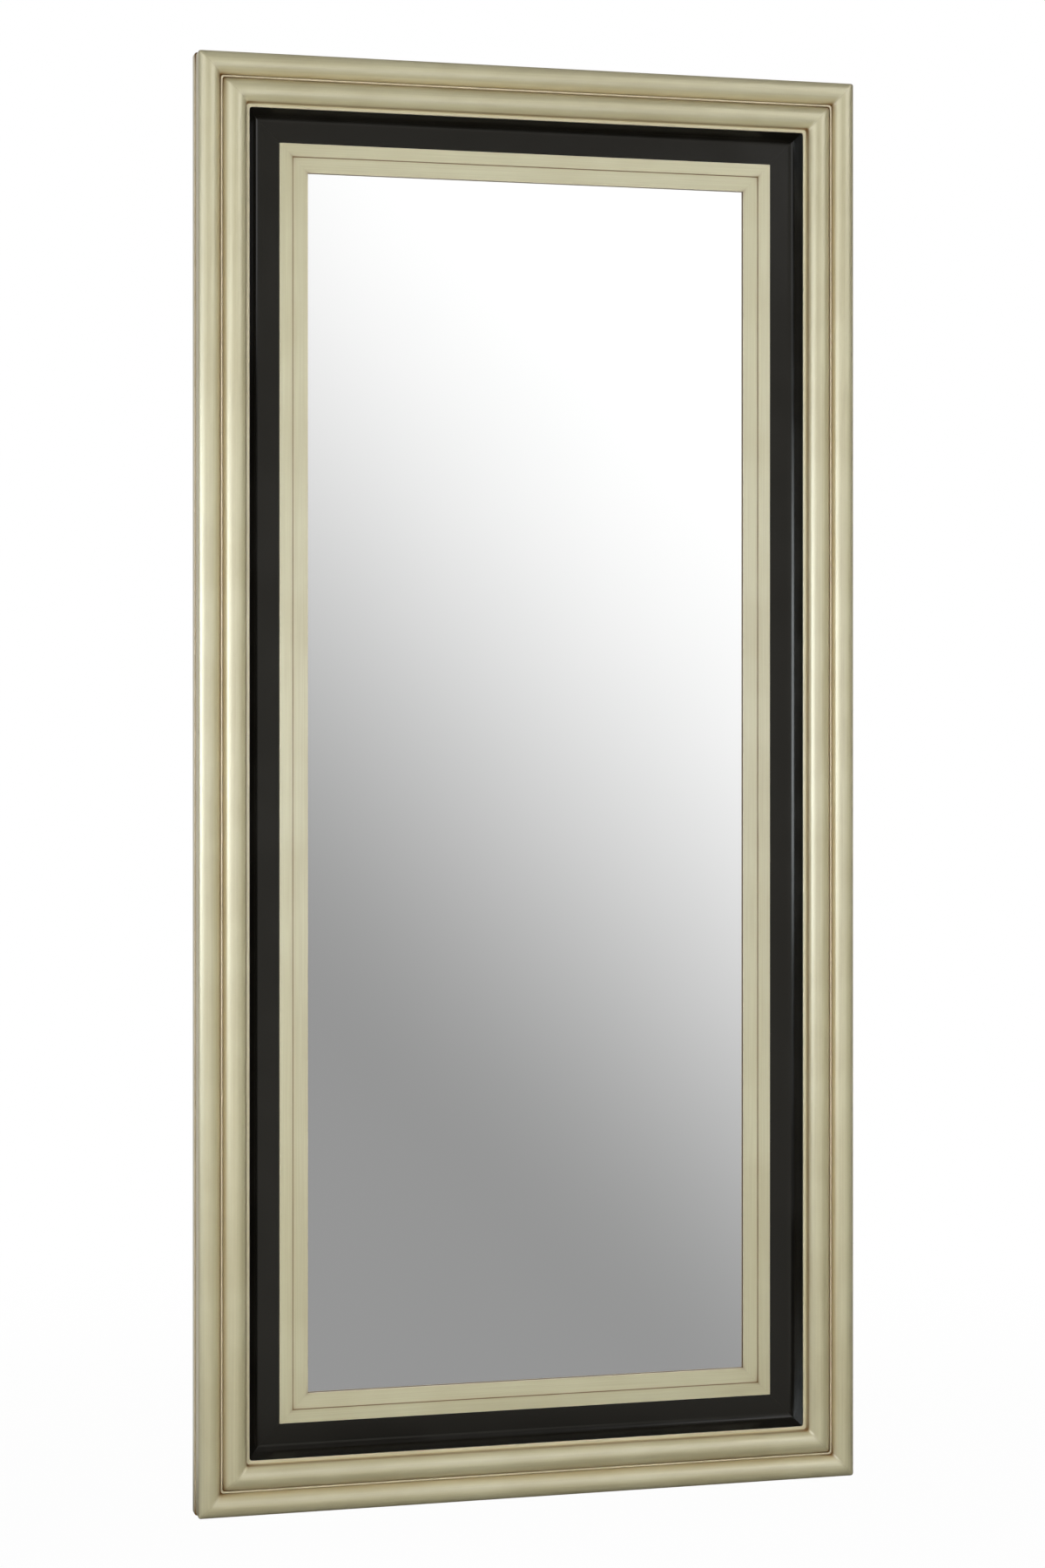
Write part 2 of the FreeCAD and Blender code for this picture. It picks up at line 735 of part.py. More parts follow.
def make_hanger_strap(side):
    """A steel strap on the stile's back. Its top end is curled into a barrel for the ring's bar."""
    body = new_body(f"hanger_strap_{side}")
    section = new_sketch(body, "Curl", "YZ_Plane")
    thickness = "Sizes.strap_thickness"
    reach = f"({BARREL_RADIUS} - {thickness})"
    meeting = f"-sqrt({BARREL_RADIUS} * {BARREL_RADIUS} - {reach} * {reach})"
    end = "-(Sizes.strap_length)"
    draw_outline(section, [
        arc((thickness, meeting), (BARREL_RADIUS, "0"), "right"),
        line((thickness, end)),
        line(("0", end)),
        line(("0", "0")),
    ])
    draw_circle(section, (BARREL_RADIUS, "0"), "(Sizes.ring_wire + 2 * Sizes.ring_play)")
    pad(body, section, "Sizes.strap_width", symmetric=True)
    drilling = new_sketch(body, "ScrewHoles", "XZ_Plane")
    hole = "(Sizes.plate_screw_diameter + Sizes.plate_hole_play)"
    for distance in ("Sizes.strap_screw_first", "Sizes.strap_screw_second"):
        draw_circle(drilling, ("0", f"-({distance})"), hole)
    pocket(body, drilling)
    place(body, hanger_x(side), "-Sizes.bumper_height", HANGER_LEVEL)
    return body


def make_hanger_ring(side):
    """A wire ring shaped like a D, hanging by its straight bar in the strap's barrel."""
    body = new_body(f"hanger_ring_{side}")
    half = "(Sizes.ring_width / 2)"
    bend = f"({half} - Sizes.ring_corner)"
    below = "-(Sizes.ring_corner)"
    route = new_sketch(body, "Route", "XZ_Plane")
    draw_outline(route, [
        line((bend, "0")),
        arc((half, below), (bend, below), "right"),
        arc((f"-{half}", below), ("0", below), "right"),
        arc((f"-{bend}", "0"), (f"-{bend}", below), "right"),
        line(("0", "0")),
    ])
    wire = new_sketch(body, "Wire", "YZ_Plane")
    draw_circle(wire, ("0", "0"), "Sizes.ring_wire")
    bent = body.newObject("PartDesign::AdditivePipe", "Bent")
    bent.Profile = wire
    bent.Spine = (route, [f"Edge{number}" for number in range(1, 6)])
    barrel_middle = f"{BARREL_RADIUS} - Sizes.bumper_height"
    place(body, hanger_x(side), barrel_middle, HANGER_LEVEL)
    return body


# Build every sub-part

parts = []
for side_name in SIDES:
    parts.append(make_outer_moulding(side_name))
    parts.append(make_black_liner(side_name))
    parts.append(make_slip(side_name))
parts.append(make_mirror_glass())
parts.append(make_backing_board())
for corner_name in CORNER_TURNS:
    parts.append(make_corner_plate(corner_name))
for side_name in ("left", "right"):
    parts.append(make_hanger_strap(side_name))
    parts.append(make_hanger_ring(side_name))

plate_screw = screw_pattern(
    "plate_screw_pattern", "Sizes.plate_screw_diameter", "Sizes.plate_screw_length",
    "Sizes.plate_head_diameter", "Sizes.plate_head_height",
)
hanger_screw = screw_pattern(
    "hanger_screw_pattern", "Sizes.plate_screw_diameter", "Sizes.hanger_screw_length",
    "Sizes.plate_head_diameter", "Sizes.plate_head_height",
)
board_screw = screw_pattern(
    "board_screw_pattern", "Sizes.board_screw_diameter", "Sizes.board_screw_length",
    "Sizes.board_head_diameter", "Sizes.board_head_height",
)
clip = clip_pattern()
bumper = bumper_pattern()
packer = packer_pattern()
document.recompute()

FRAME_BACK = "(-(Sizes.bumper_height))"
PLATE_TOP = "(Sizes.plate_thickness - Sizes.bumper_height)"
STRAP_TOP = "(Sizes.strap_thickness - Sizes.bumper_height)"
BOARD_BACK = f"(Sizes.board_thickness - {GLASS_BACK} - Sizes.bumper_height)"
PANE_BACK = f"(-({GLASS_BACK}) - Sizes.bumper_height)"
parts.append(copies("plate_screws", plate_screw, plate_screw_spots(), PLATE_TOP))
parts.append(copies("hanger_screws", hanger_screw, hanger_screw_spots(), STRAP_TOP))
parts.append(copies("board_screws", board_screw, board_screw_spots(), BOARD_BACK))
parts.append(copies("liner_clips", clip, clip_spots(), FRAME_BACK, turned=True))
parts.append(copies("wall_bumpers", bumper, bumper_spots(), FRAME_BACK))
parts.append(copies("glass_packers", packer, packer_spots(), PANE_BACK, turned=True))
document.recompute()

for item in document.Objects:
    if "Invalid" in item.State or "Error" in item.State:
        raise RuntimeError(f"{item.Label} did not build: {item.State}")
for part in parts:
    if part.Shape.isNull() or not part.Shape.isValid():
        raise RuntimeError(f"{part.Label} has no valid shape")

os.makedirs("parts", exist_ok=True)
for part in parts:
    part.Shape.exportStep(f"parts/{part.Label}.step")
    box = part.Shape.BoundBox
    solids = len(part.Shape.Solids)
    print(f"{part.Label}: {solids} solids, {part.Shape.Volume:.1f} mm3, "
          f"{box.XLength:.1f} x {box.YLength:.1f} x {box.ZLength:.1f} mm")
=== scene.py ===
import math
import bmesh
import bpy
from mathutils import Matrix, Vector


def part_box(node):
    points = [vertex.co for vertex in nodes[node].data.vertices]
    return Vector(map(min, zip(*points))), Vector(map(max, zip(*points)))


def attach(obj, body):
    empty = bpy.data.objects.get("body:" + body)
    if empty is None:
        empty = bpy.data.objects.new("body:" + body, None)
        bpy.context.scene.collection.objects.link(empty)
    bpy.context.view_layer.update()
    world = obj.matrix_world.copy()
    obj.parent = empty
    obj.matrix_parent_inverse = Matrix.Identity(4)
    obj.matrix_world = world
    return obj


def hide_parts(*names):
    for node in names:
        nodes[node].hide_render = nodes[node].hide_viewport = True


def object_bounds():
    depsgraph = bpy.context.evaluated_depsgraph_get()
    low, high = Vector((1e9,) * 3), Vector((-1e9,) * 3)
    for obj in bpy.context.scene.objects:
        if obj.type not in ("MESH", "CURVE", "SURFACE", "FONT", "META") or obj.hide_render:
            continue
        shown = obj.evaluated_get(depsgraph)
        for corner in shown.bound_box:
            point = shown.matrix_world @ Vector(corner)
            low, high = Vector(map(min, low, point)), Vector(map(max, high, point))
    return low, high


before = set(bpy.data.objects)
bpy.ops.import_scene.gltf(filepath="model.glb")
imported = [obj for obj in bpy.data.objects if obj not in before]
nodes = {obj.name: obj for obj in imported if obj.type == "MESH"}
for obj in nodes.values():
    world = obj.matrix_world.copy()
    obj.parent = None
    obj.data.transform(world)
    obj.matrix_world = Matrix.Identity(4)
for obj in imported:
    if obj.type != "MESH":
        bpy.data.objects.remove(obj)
cad_low, cad_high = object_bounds()

# Measures of the mirror, in metres. Heights stand in front of the frame's back,
# and lines lie in from the frame's outer edge.
MM = 0.001
outer_low, outer_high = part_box("outer_moulding_left")
HALF_WIDTH = -outer_low.x
HALF_HEIGHT = outer_high.z
FRAME_BACK = outer_high.y
OUTER_FACE = outer_high.x - outer_low.x

BACK_STRIP_HEIGHT = 16.0 * MM
LEDGE_WIDTH = 1.6 * MM
OUTER_BEAD_WIDTH = 29.4 * MM
SHOULDER_HEIGHT = 40.0 * MM
OUTER_CREST_LINE = 14.8 * MM
OUTER_CREST = 46.5 * MM
INNER_CREST = 46.0 * MM
QUIRK_HEIGHT = 33.0 * MM
QUIRK_WIDTH = 0.6 * MM
FILLET_WIDTH = 2.0 * MM
FILLET_HEIGHT = 36.5 * MM
LIP_WIDTH = 4.4 * MM
LIP_HEIGHT = 30.0 * MM
LIP_THICKNESS = 3.5 * MM
LINER_OVERLAP = 12.0 * MM
LINER_CLEARANCE = 0.3 * MM
BLACK_FACE = 42.0 * MM
BLACK_HEIGHT = 11.3 * MM
WALL_RUN = 10.5 * MM
VALLEY_RADIUS = 9.0 * MM
SLIP_OUTER_WIDTH = 17.3 * MM
SLIP_INNER_WIDTH = 20.7 * MM
SLIP_HEIGHT = 13.8 * MM
SLIP_STEP = 0.9 * MM
STEP_GROOVE = 0.5 * MM
SLIP_EDGE_HEIGHT = 11.9 * MM
SLIP_SEAT_HEIGHT = 7.6 * MM
SLIP_OVERLAP = 12.0 * MM
SLIP_CLEARANCE = 0.2 * MM
SIGHT_LIP = 4.0 * MM
GLASS_COVER = 9.0 * MM
GLASS_THICKNESS = 4.0 * MM
BOARD_BEARING = 10.0 * MM

OUTER_BEAD_END = LEDGE_WIDTH + OUTER_BEAD_WIDTH
FILLET_START = OUTER_BEAD_END + QUIRK_WIDTH
FILLET_END = FILLET_START + FILLET_WIDTH
INNER_BEAD_START = FILLET_END + QUIRK_WIDTH
INNER_BEAD_END = OUTER_FACE - LIP_WIDTH
LIP_UNDERSIDE = LIP_HEIGHT - LIP_THICKNESS
LINER_REBATE = OUTER_FACE - LINER_OVERLAP
SLIP_LINE = OUTER_FACE + BLACK_FACE
STEP_LINE = SLIP_LINE + SLIP_OUTER_WIDTH
SIGHT_LINE = STEP_LINE + SLIP_INNER_WIDTH
LINER_END = SLIP_LINE + SLIP_OVERLAP
BOARD_REBATE = LINER_END - BOARD_BEARING
GLASS_REBATE = SIGHT_LINE - GLASS_COVER
GLASS_FRONT = SLIP_EDGE_HEIGHT - SIGHT_LIP
GLASS_BACK = GLASS_FRONT - GLASS_THICKNESS

# Small rounds that the finish leaves on worked edges
ARRIS_ROUND = 0.8 * MM
LIP_ROUND = 1.0 * MM
FILLET_ROUND = 0.8 * MM
SHOULDER_ROUND = 2.5 * MM
EDGE_ROUND = 0.35 * MM
STEP_ROUND = 0.2 * MM
SOFT_MITRE = 4.0 * MM
GRADED_STEPS = [step * MM for step in (0.3, 0.7, 1.2, 2.0, 3.5, 6.0)]

# Points closer than this are one point
SAME_PLACE = 0.001 * MM
SIDES = ("top", "bottom", "left", "right")


# Node-tree helpers

def add_node(tree, kind, inputs=None, **settings):
    """Add a node. An input takes a value, or a socket to link from."""
    node = tree.nodes.new(kind)
    for name, setting in settings.items():
        setattr(node, name, setting)
    for name, value in (inputs or {}).items():
        if isinstance(value, bpy.types.NodeSocket):
            tree.links.new(value, node.inputs[name])
        else:
            node.inputs[name].default_value = value
    return node


def calculate(tree, operation, first, second=0.0, clamp=False):
    node = add_node(tree, "ShaderNodeMath", {0: first, 1: second}, operation=operation, use_clamp=clamp)
    return node.outputs[0]


def ease(tree, value, start, finish, low=0.0, high=1.0):
    """A smooth step from low to high as a value goes from start to finish."""
    limits = {"Value": value, "From Min": start, "From Max": finish, "To Min": low, "To Max": high}
    return add_node(tree, "ShaderNodeMapRange", limits, interpolation_type="SMOOTHSTEP").outputs["Result"]


def part_of(tree, value, amount):
    return calculate(tree, "MULTIPLY", value, amount)


def one_over(tree, value):
    return calculate(tree, "DIVIDE", 1.0, value)


def rest_of(tree, value):
    """What a value leaves of one."""
    return calculate(tree, "SUBTRACT", 1.0, value, clamp=True)


def blend_colours(tree, factor, first, second):
    return add_node(tree, "ShaderNodeMix", {0: factor, 6: first, 7: second}, data_type="RGBA").outputs[2]


def blend_values(tree, factor, first, second):
    return add_node(tree, "ShaderNodeMix", {0: factor, 2: first, 3: second}, data_type="FLOAT").outputs[0]


def blend_shaders(tree, factor, first, second):
    return add_node(tree, "ShaderNodeMixShader", {0: factor, 1: first, 2: second}).outputs[0]


def attribute(tree, name):
    return add_node(tree, "ShaderNodeAttribute", attribute_name=name).outputs["Fac"]


def noise(tree, vector, scale=1.0, detail=3.0, roughness=0.5):
    node = add_node(tree, "ShaderNodeTexNoise",
                    {"Vector": vector, "Scale": scale, "Detail": detail, "Roughness": roughness})
    return node.outputs["Fac"]


def three_values(tree, x, y, z):
    return add_node(tree, "ShaderNodeCombineXYZ", {0: x, 1: y, 2: z}).outputs[0]


def stretched(tree, vector, stretch):
    """Coordinates scaled by a factor on each axis."""
    return add_node(tree, "ShaderNodeVectorMath", {0: vector, 1: stretch}, operation="MULTIPLY").outputs[0]


def lengthwise(tree):
    """Coordinates along a rail and across its section, in metres."""
    return add_node(tree, "ShaderNodeUVMap", uv_map="RailMap").outputs["UV"]


def object_place(tree):
    return add_node(tree, "ShaderNodeTexCoord").outputs["Object"]


def new_group(name, inputs, outputs):
    tree = bpy.data.node_groups.new(name, "ShaderNodeTree")
    for label, default in inputs:
        socket = tree.interface.new_socket(label, in_out="INPUT", socket_type="NodeSocketFloat")
        socket.default_value = default
    for label in outputs:
        tree.interface.new_socket(label, in_out="OUTPUT", socket_type="NodeSocketFloat")
    return tree, tree.nodes.new("NodeGroupInput").outputs, tree.nodes.new("NodeGroupOutput")


def use_group(tree, group, inputs):
    return add_node(tree, "ShaderNodeGroup", inputs, node_tree=group).outputs


# Shared effects, with noises stretched along and across a rail, or along X, Y and Z
GLAZE_BREAKS = (14.0, 120.0, 1.0)
PAINT_WAVES = (55.0, 0.0, 1.0)
GRAIN_BANDS = (3.0, 130.0, 1.0)
GRAIN_FIBRES = (30.0, 1800.0, 1.0)
BOARD_FIBRES = (900.0, 1.0, 350.0)
ROLLING_SCALE = 40.0


def rubbed_finish_group():
    """Streaks left along a rail by the pad that laid the finish, and broad uneven patches."""
    tree, given, result = new_group(
        "rubbed_finish", [("Streak Length", 0.2), ("Streak Width", 0.003), ("Patch Size", 0.12)],
        ["Streaks", "Patches"])
    place = lengthwise(tree)
    along = one_over(tree, given["Streak Length"])
    across = one_over(tree, given["Streak Width"])
    stretch = three_values(tree, along, across, 1.0)
    streaks = noise(tree, stretched(tree, place, stretch), detail=4.0, roughness=0.6)
    patches = noise(tree, object_place(tree), one_over(tree, given["Patch Size"]), detail=2.0)
    tree.links.new(streaks, result.inputs["Streaks"])
    tree.links.new(patches, result.inputs["Patches"])
    return tree


def aged_glaze_and_shade_group():
    """Brown glaze wiped off the faces and left in the grooves, most of all where two rails meet, with a thin
    tint on the faces near the hollows. Grooves and hollows also carry painted shade: they are darker and
    browner where shade falls.
    """
    tree, given, result = new_group(
        "aged_glaze_and_shade", [("Groove", 0.8), ("Corner", 0.8), ("Corner Reach", 0.005), ("Tint And Shade", 0.3)],
        ["Glaze", "Tint And Shade"])
    broken = noise(tree, stretched(tree, lengthwise(tree), GLAZE_BREAKS), detail=4.0, roughness=0.6)
    unevenness = ease(tree, broken, 0.3, 0.7, low=0.75)
    groove = part_of(tree, attribute(tree, "groove"), given["Groove"])
    near = calculate(tree, "DIVIDE", attribute(tree, "mitre"), given["Corner Reach"])
    fade = calculate(tree, "EXPONENT", part_of(tree, near, -1.0))
    pooled = part_of(tree, calculate(tree, "POWER", attribute(tree, "hollow"), 2.0), fade)
    both = calculate(tree, "ADD", groove, part_of(tree, pooled, given["Corner"]))
    glaze_and_shade = calculate(tree, "MULTIPLY", both, unevenness, clamp=True)
    # Painted shade: faces near the hollows tinted darker and browner, partly a thin glaze
    hollow_tint_and_shade = part_of(tree, attribute(tree, "hollow"), given["Tint And Shade"])
    tree.links.new(glaze_and_shade, result.inputs["Glaze"])
    tree.links.new(calculate(tree, "MULTIPLY", hollow_tint_and_shade, unevenness, clamp=True), result.inputs["Tint And Shade"])
    return tree


def worn_and_lit_edge_group():
    """Edges rubbed through to the warm ground under the leaf, here more and there less. The cream also paints
    the highlight on edges that catch the light.
    """
    tree, given, result = new_group("worn_and_lit_edge", [("Wear And Highlight", 0.7), ("Break Size", 0.02)], ["Worn"])
    broken = noise(tree, object_place(tree), one_over(tree, given["Break Size"]))
    patchy = ease(tree, broken, 0.25, 0.65, low=0.45)
    # The worn mask also places painted highlights on edges that catch the light
    rubbed = part_of(tree, attribute(tree, "worn_and_lit"), given["Wear And Highlight"])
    tree.links.new(calculate(tree, "MULTIPLY", rubbed, patchy, clamp=True), result.inputs["Worn"])
    return tree


def mitre_seam_group():
    """The fine line where two mitred rails meet."""
    tree, given, result = new_group("mitre_seam", [("Seam Width", 0.0006)], ["Seam"])
    seam = ease(tree, attribute(tree, "mitre"), given["Seam Width"], 0.0)
    tree.links.new(seam, result.inputs["Seam"])
    return tree


def brushed_plate_group():
    """Rolling lines and dull spots of zinc-plated steel."""
    tree, given, result = new_group("brushed_plate", [("Line Width", 0.0008), ("Spot Size", 0.006)],
                                    ["Lines", "Spots"])
    place = object_place(tree)
    across = one_over(tree, given["Line Width"])
    stretch = three_values(tree, across, across, ROLLING_SCALE)
    lines = noise(tree, stretched(tree, place, stretch))
    spots = noise(tree, place, one_over(tree, given["Spot Size"]), roughness=0.6)
    tree.links.new(lines, result.inputs["Lines"])
    tree.links.new(spots, result.inputs["Spots"])
    return tree


RUBBED_FINISH = rubbed_finish_group()
AGED_GLAZE_AND_SHADE = aged_glaze_and_shade_group()
WORN_AND_LIT_EDGE = worn_and_lit_edge_group()
MITRE_SEAM = mitre_seam_group()
BRUSHED_PLATE = brushed_plate_group()


def new_material(name, constants):
    """A material with one shader, whose even values are set on its own sockets."""
    material = bpy.data.materials.new(name)
    material.use_nodes = True
    tree = material.node_tree
    shader = tree.nodes["Principled BSDF"]
    for socket, value in constants.items():
        shader.inputs[socket].default_value = value
    return material, tree, shader


def rubbed_finish(tree, streak_length, streak_width, patch_size):
    return use_group(tree, RUBBED_FINISH, {
        "Streak Length": streak_length, "Streak Width": streak_width, "Patch Size": patch_size})


def set_colour(tree, shader, colour):
    tree.links.new(colour, shader.inputs["Base Color"])


def set_roughness(tree, shader, unevenness, low, high):
    """Roughness that goes from low to high as an uneven value rises."""
    tree.links.new(ease(tree, unevenness, 0.2, 0.8, low, high), shader.inputs["Roughness"])


def set_bump(tree, shader, height, strength, distance):
    bump = add_node(tree, "ShaderNodeBump", {"Height": height, "Strength": strength, "Distance": distance})
    tree.links.new(bump.outputs["Normal"], shader.inputs["Normal"])


# Finishes of the frame

# Leaf colours run from thin to full
MOULDING_GOLD = ((0.555, 0.50, 0.295, 1.0), (0.66, 0.617, 0.395, 1.0))
SLIP_GOLD = ((0.55, 0.507, 0.305, 1.0), (0.655, 0.63, 0.415, 1.0))
# The brown paints glaze and painted shade in grooves; the thin tint paints glaze and painted shade on faces
# near hollows
GLAZE_BROWN_AND_SHADE = (0.20, 0.098, 0.022, 1.0)
THIN_GLAZE_AND_SHADE = (0.45, 0.32, 0.14, 1.0)
WORN_CREAM_AND_HIGHLIGHT = (0.77, 0.665, 0.46, 1.0)
PAINT_BLACK = (0.005, 0.0044, 0.0032, 1.0)
PAINT_RUBBED = (0.008, 0.0072, 0.0056, 1.0)
PAINT_SEAM_AND_GLINT = (0.06, 0.05, 0.04, 1.0)
SOFTWOOD = ((0.52, 0.36, 0.20, 1.0), (0.34, 0.20, 0.095, 1.0))
SOFTWOOD_FIBRE = (0.62, 0.46, 0.28, 1.0)
LACQUER = {"IOR": 1.45, "Coat IOR": 1.9, "Coat Roughness": 0.34}
LEAF_SHARE = 0.1
STREAK_SHARE = 0.55
GLAZE_DULLING = 0.85
GLAZE_ROUGHNESS = 0.25
PAINT_WANDER = 2.4 * MM
PAINT_EDGE = (0.6 * MM, 1.0 * MM)


def gilding(tree, shader, rubbed, gold, glaze_and_shade_amounts, wear_and_highlight, seam_share):
    """Champagne gilding: uneven leaf, a wiped glaze with painted shade in the grooves and hollows, worn edges
    that also carry painted highlights, and fine mitre lines under a lacquer.
    """
    streaks = ease(tree, rubbed["Streaks"], 0.3, 0.7)
    patches = ease(tree, rubbed["Patches"], 0.35, 0.65)
    tone = calculate(tree, "ADD", part_of(tree, streaks, STREAK_SHARE),
                     part_of(tree, patches, 1 - STREAK_SHARE))
    colour = blend_colours(tree, tone, *gold)
    glaze_and_shade_masks = use_group(tree, AGED_GLAZE_AND_SHADE, glaze_and_shade_amounts)
    # Painted shade: faces near the hollows tinted darker and browner, partly a thin glaze
    colour = blend_colours(tree, glaze_and_shade_masks["Tint And Shade"], colour, THIN_GLAZE_AND_SHADE)
    worn_and_lit = use_group(tree, WORN_AND_LIT_EDGE, {"Wear And Highlight": wear_and_highlight})["Worn"]
    # Worn edges, and painted highlights on edges that catch the light
    colour = blend_colours(tree, worn_and_lit, colour, WORN_CREAM_AND_HIGHLIGHT)
    glaze_and_shade = glaze_and_shade_masks["Glaze"]
    # Glaze in the grooves and corners, with painted shade in some grooves
    colour = blend_colours(tree, glaze_and_shade, colour, GLAZE_BROWN_AND_SHADE)
    seam = use_group(tree, MITRE_SEAM, {"Seam Width": 0.0007})["Seam"]
    colour = blend_colours(tree, part_of(tree, seam, seam_share), colour, GLAZE_BROWN_AND_SHADE)
    dull = calculate(tree, "MAXIMUM", glaze_and_shade, glaze_and_shade_masks["Tint And Shade"])
    coat = rest_of(tree, part_of(tree, dull, GLAZE_DULLING))
    tree.links.new(coat, shader.inputs["Coat Weight"])
    sheen = ease(tree, rubbed["Streaks"], 0.25, 0.75, low=0.32, high=0.40)
    rough = calculate(tree, "ADD", sheen, part_of(tree, dull, GLAZE_ROUGHNESS))
    tree.links.new(rough, shader.inputs["Roughness"])
    set_bump(tree, shader, rubbed["Streaks"], strength=0.03, distance=0.0004)
    return colour, glaze_and_shade


def gilded_moulding():
    """The gilding of the outer moulding, with a black edge painted unevenly under the lip."""
    material, tree, shader = new_material("champagne_gilding", LACQUER)
    rubbed = rubbed_finish(tree, streak_length=0.25, streak_width=0.0022, patch_size=0.1)
    glaze_and_shade_amounts = {"Groove": 0.65, "Corner": 1.5, "Corner Reach": 0.012, "Tint And Shade": 0.7}
    colour, glaze_and_shade = gilding(tree, shader, rubbed, MOULDING_GOLD, glaze_and_shade_amounts, wear_and_highlight=1.0, seam_share=0.22)
    wander = noise(tree, stretched(tree, lengthwise(tree), PAINT_WAVES), roughness=0.6)
    waves = part_of(tree, calculate(tree, "SUBTRACT", wander, 0.5), PAINT_WANDER)
    edge = calculate(tree, "ADD", attribute(tree, "lip_drop"), waves)
    painted = ease(tree, edge, *PAINT_EDGE)
    set_colour(tree, shader, blend_colours(tree, painted, colour, PAINT_BLACK))
    leaf = rest_of(tree, calculate(tree, "MAXIMUM", glaze_and_shade, painted))
    tree.links.new(part_of(tree, leaf, LEAF_SHARE), shader.inputs["Metallic"])
    return material


def gilded_slip():
    """The gilding of the slip, with the glaze and painted shade left along its step line and sight wall."""
    material, tree, shader = new_material("slip_gilding", LACQUER)
    rubbed = rubbed_finish(tree, streak_length=0.18, streak_width=0.0016, patch_size=0.14)
    glaze_and_shade_amounts = {"Groove": 1.5, "Corner": 0.5, "Corner Reach": 0.006, "Tint And Shade": 0.12}
    colour, glaze_and_shade = gilding(tree, shader, rubbed, SLIP_GOLD, glaze_and_shade_amounts, wear_and_highlight=0.9, seam_share=0.05)
    set_colour(tree, shader, colour)
    tree.links.new(part_of(tree, rest_of(tree, glaze_and_shade), LEAF_SHARE), shader.inputs["Metallic"])
    return material


def black_paint():
    """Satin black paint of the liner, rubbed a little unevenly."""
    material, tree, shader = new_material("satin_black", {"IOR": 1.38})
    rubbed = rubbed_finish(tree, streak_length=0.3, streak_width=0.003, patch_size=0.08)
    tone = ease(tree, rubbed["Patches"], 0.3, 0.7)
    colour = blend_colours(tree, tone, PAINT_BLACK, PAINT_RUBBED)
    seam = use_group(tree, MITRE_SEAM, {"Seam Width": 0.0006})["Seam"]
    # The mitre joint on the black, painted lighter than the paint: a joint line and a painted faint glint
    colour = blend_colours(tree, part_of(tree, seam, 0.12), colour, PAINT_SEAM_AND_GLINT)
    set_colour(tree, shader, colour)
    rough = ease(tree, rubbed["Patches"], 0.25, 0.75, low=0.14, high=0.19)
    tree.links.new(rough, shader.inputs["Roughness"])
    set_bump(tree, shader, rubbed["Streaks"], strength=0.02, distance=0.0004)
    return material


def raw_wood():
    """Planed softwood on the back of the rails, with grain along their length."""
    material, tree, shader = new_material("planed_softwood", {"IOR": 1.45})
    place = lengthwise(tree)
    bands = noise(tree, stretched(tree, place, GRAIN_BANDS), detail=5.0, roughness=0.6)
    fibres = noise(tree, stretched(tree, place, GRAIN_FIBRES), detail=2.0)
    tone = ease(tree, bands, 0.3, 0.7)
    colour = blend_colours(tree, tone, *SOFTWOOD)
    colour = blend_colours(tree, part_of(tree, fibres, 0.35), colour, SOFTWOOD_FIBRE)
    set_colour(tree, shader, colour)
    set_roughness(tree, shader, fibres, low=0.6, high=0.8)
    set_bump(tree, shader, fibres, strength=0.25, distance=0.0003)
    return material


# Finishes of the pane and the back

SILVER = ((0.955, 0.96, 0.957, 1.0), (0.965, 0.967, 0.965, 1.0))
GROUND_GLASS = ((0.18, 0.32, 0.27, 1.0), (0.36, 0.5, 0.45, 1.0))
BOARD_BROWN = ((0.20, 0.105, 0.05, 1.0), (0.33, 0.19, 0.10, 1.0))
BOARD_CLOUD = (0.16, 0.085, 0.045, 1.0)
ZINC_PLATE = ((0.50, 0.50, 0.49, 1.0), (0.66, 0.66, 0.65, 1.0))
ZINC_WIRE = ((0.52, 0.52, 0.52, 1.0), (0.70, 0.70, 0.70, 1.0))
ZINC_SCREW = ((0.50, 0.47, 0.38, 1.0), (0.66, 0.62, 0.50, 1.0))
RUBBER_BLACK = ((0.022, 0.022, 0.022, 1.0), (0.04, 0.04, 0.041, 1.0))
PACKER_GREY = ((0.42, 0.42, 0.41, 1.0), (0.55, 0.55, 0.53, 1.0))


def mirror_silver():
    material, tree, shader = new_material("mirror_silver", {"Metallic": 1.0, "Roughness": 0.0})
    haze = noise(tree, object_place(tree), scale=3.0, detail=2.0)
    colour = blend_colours(tree, ease(tree, haze, 0.3, 0.7), *SILVER)
    set_colour(tree, shader, colour)
    return material


def glass_edge():
    material, tree, shader = new_material("ground_glass_edge", {"IOR": 1.5})
    grind = noise(tree, object_place(tree), scale=900.0, detail=2.0)
    colour = blend_colours(tree, grind, *GROUND_GLASS)
    set_colour(tree, shader, colour)
    set_roughness(tree, shader, grind, low=0.35, high=0.6)
    return material


def hardboard():
    """Pressed fibre board, brown and slightly hairy."""
    material, tree, shader = new_material("hardboard", {"IOR": 1.45})
    place = object_place(tree)
    fibres = noise(tree, stretched(tree, place, BOARD_FIBRES), detail=4.0, roughness=0.65)
    clouds = noise(tree, place, scale=9.0)
    colour = blend_colours(tree, ease(tree, fibres, 0.25, 0.75), *BOARD_BROWN)
    colour = blend_colours(tree, part_of(tree, clouds, 0.3), colour, BOARD_CLOUD)
    set_colour(tree, shader, colour)
    set_roughness(tree, shader, fibres, low=0.55, high=0.8)
    set_bump(tree, shader, fibres, strength=0.3, distance=0.0004)
    return material


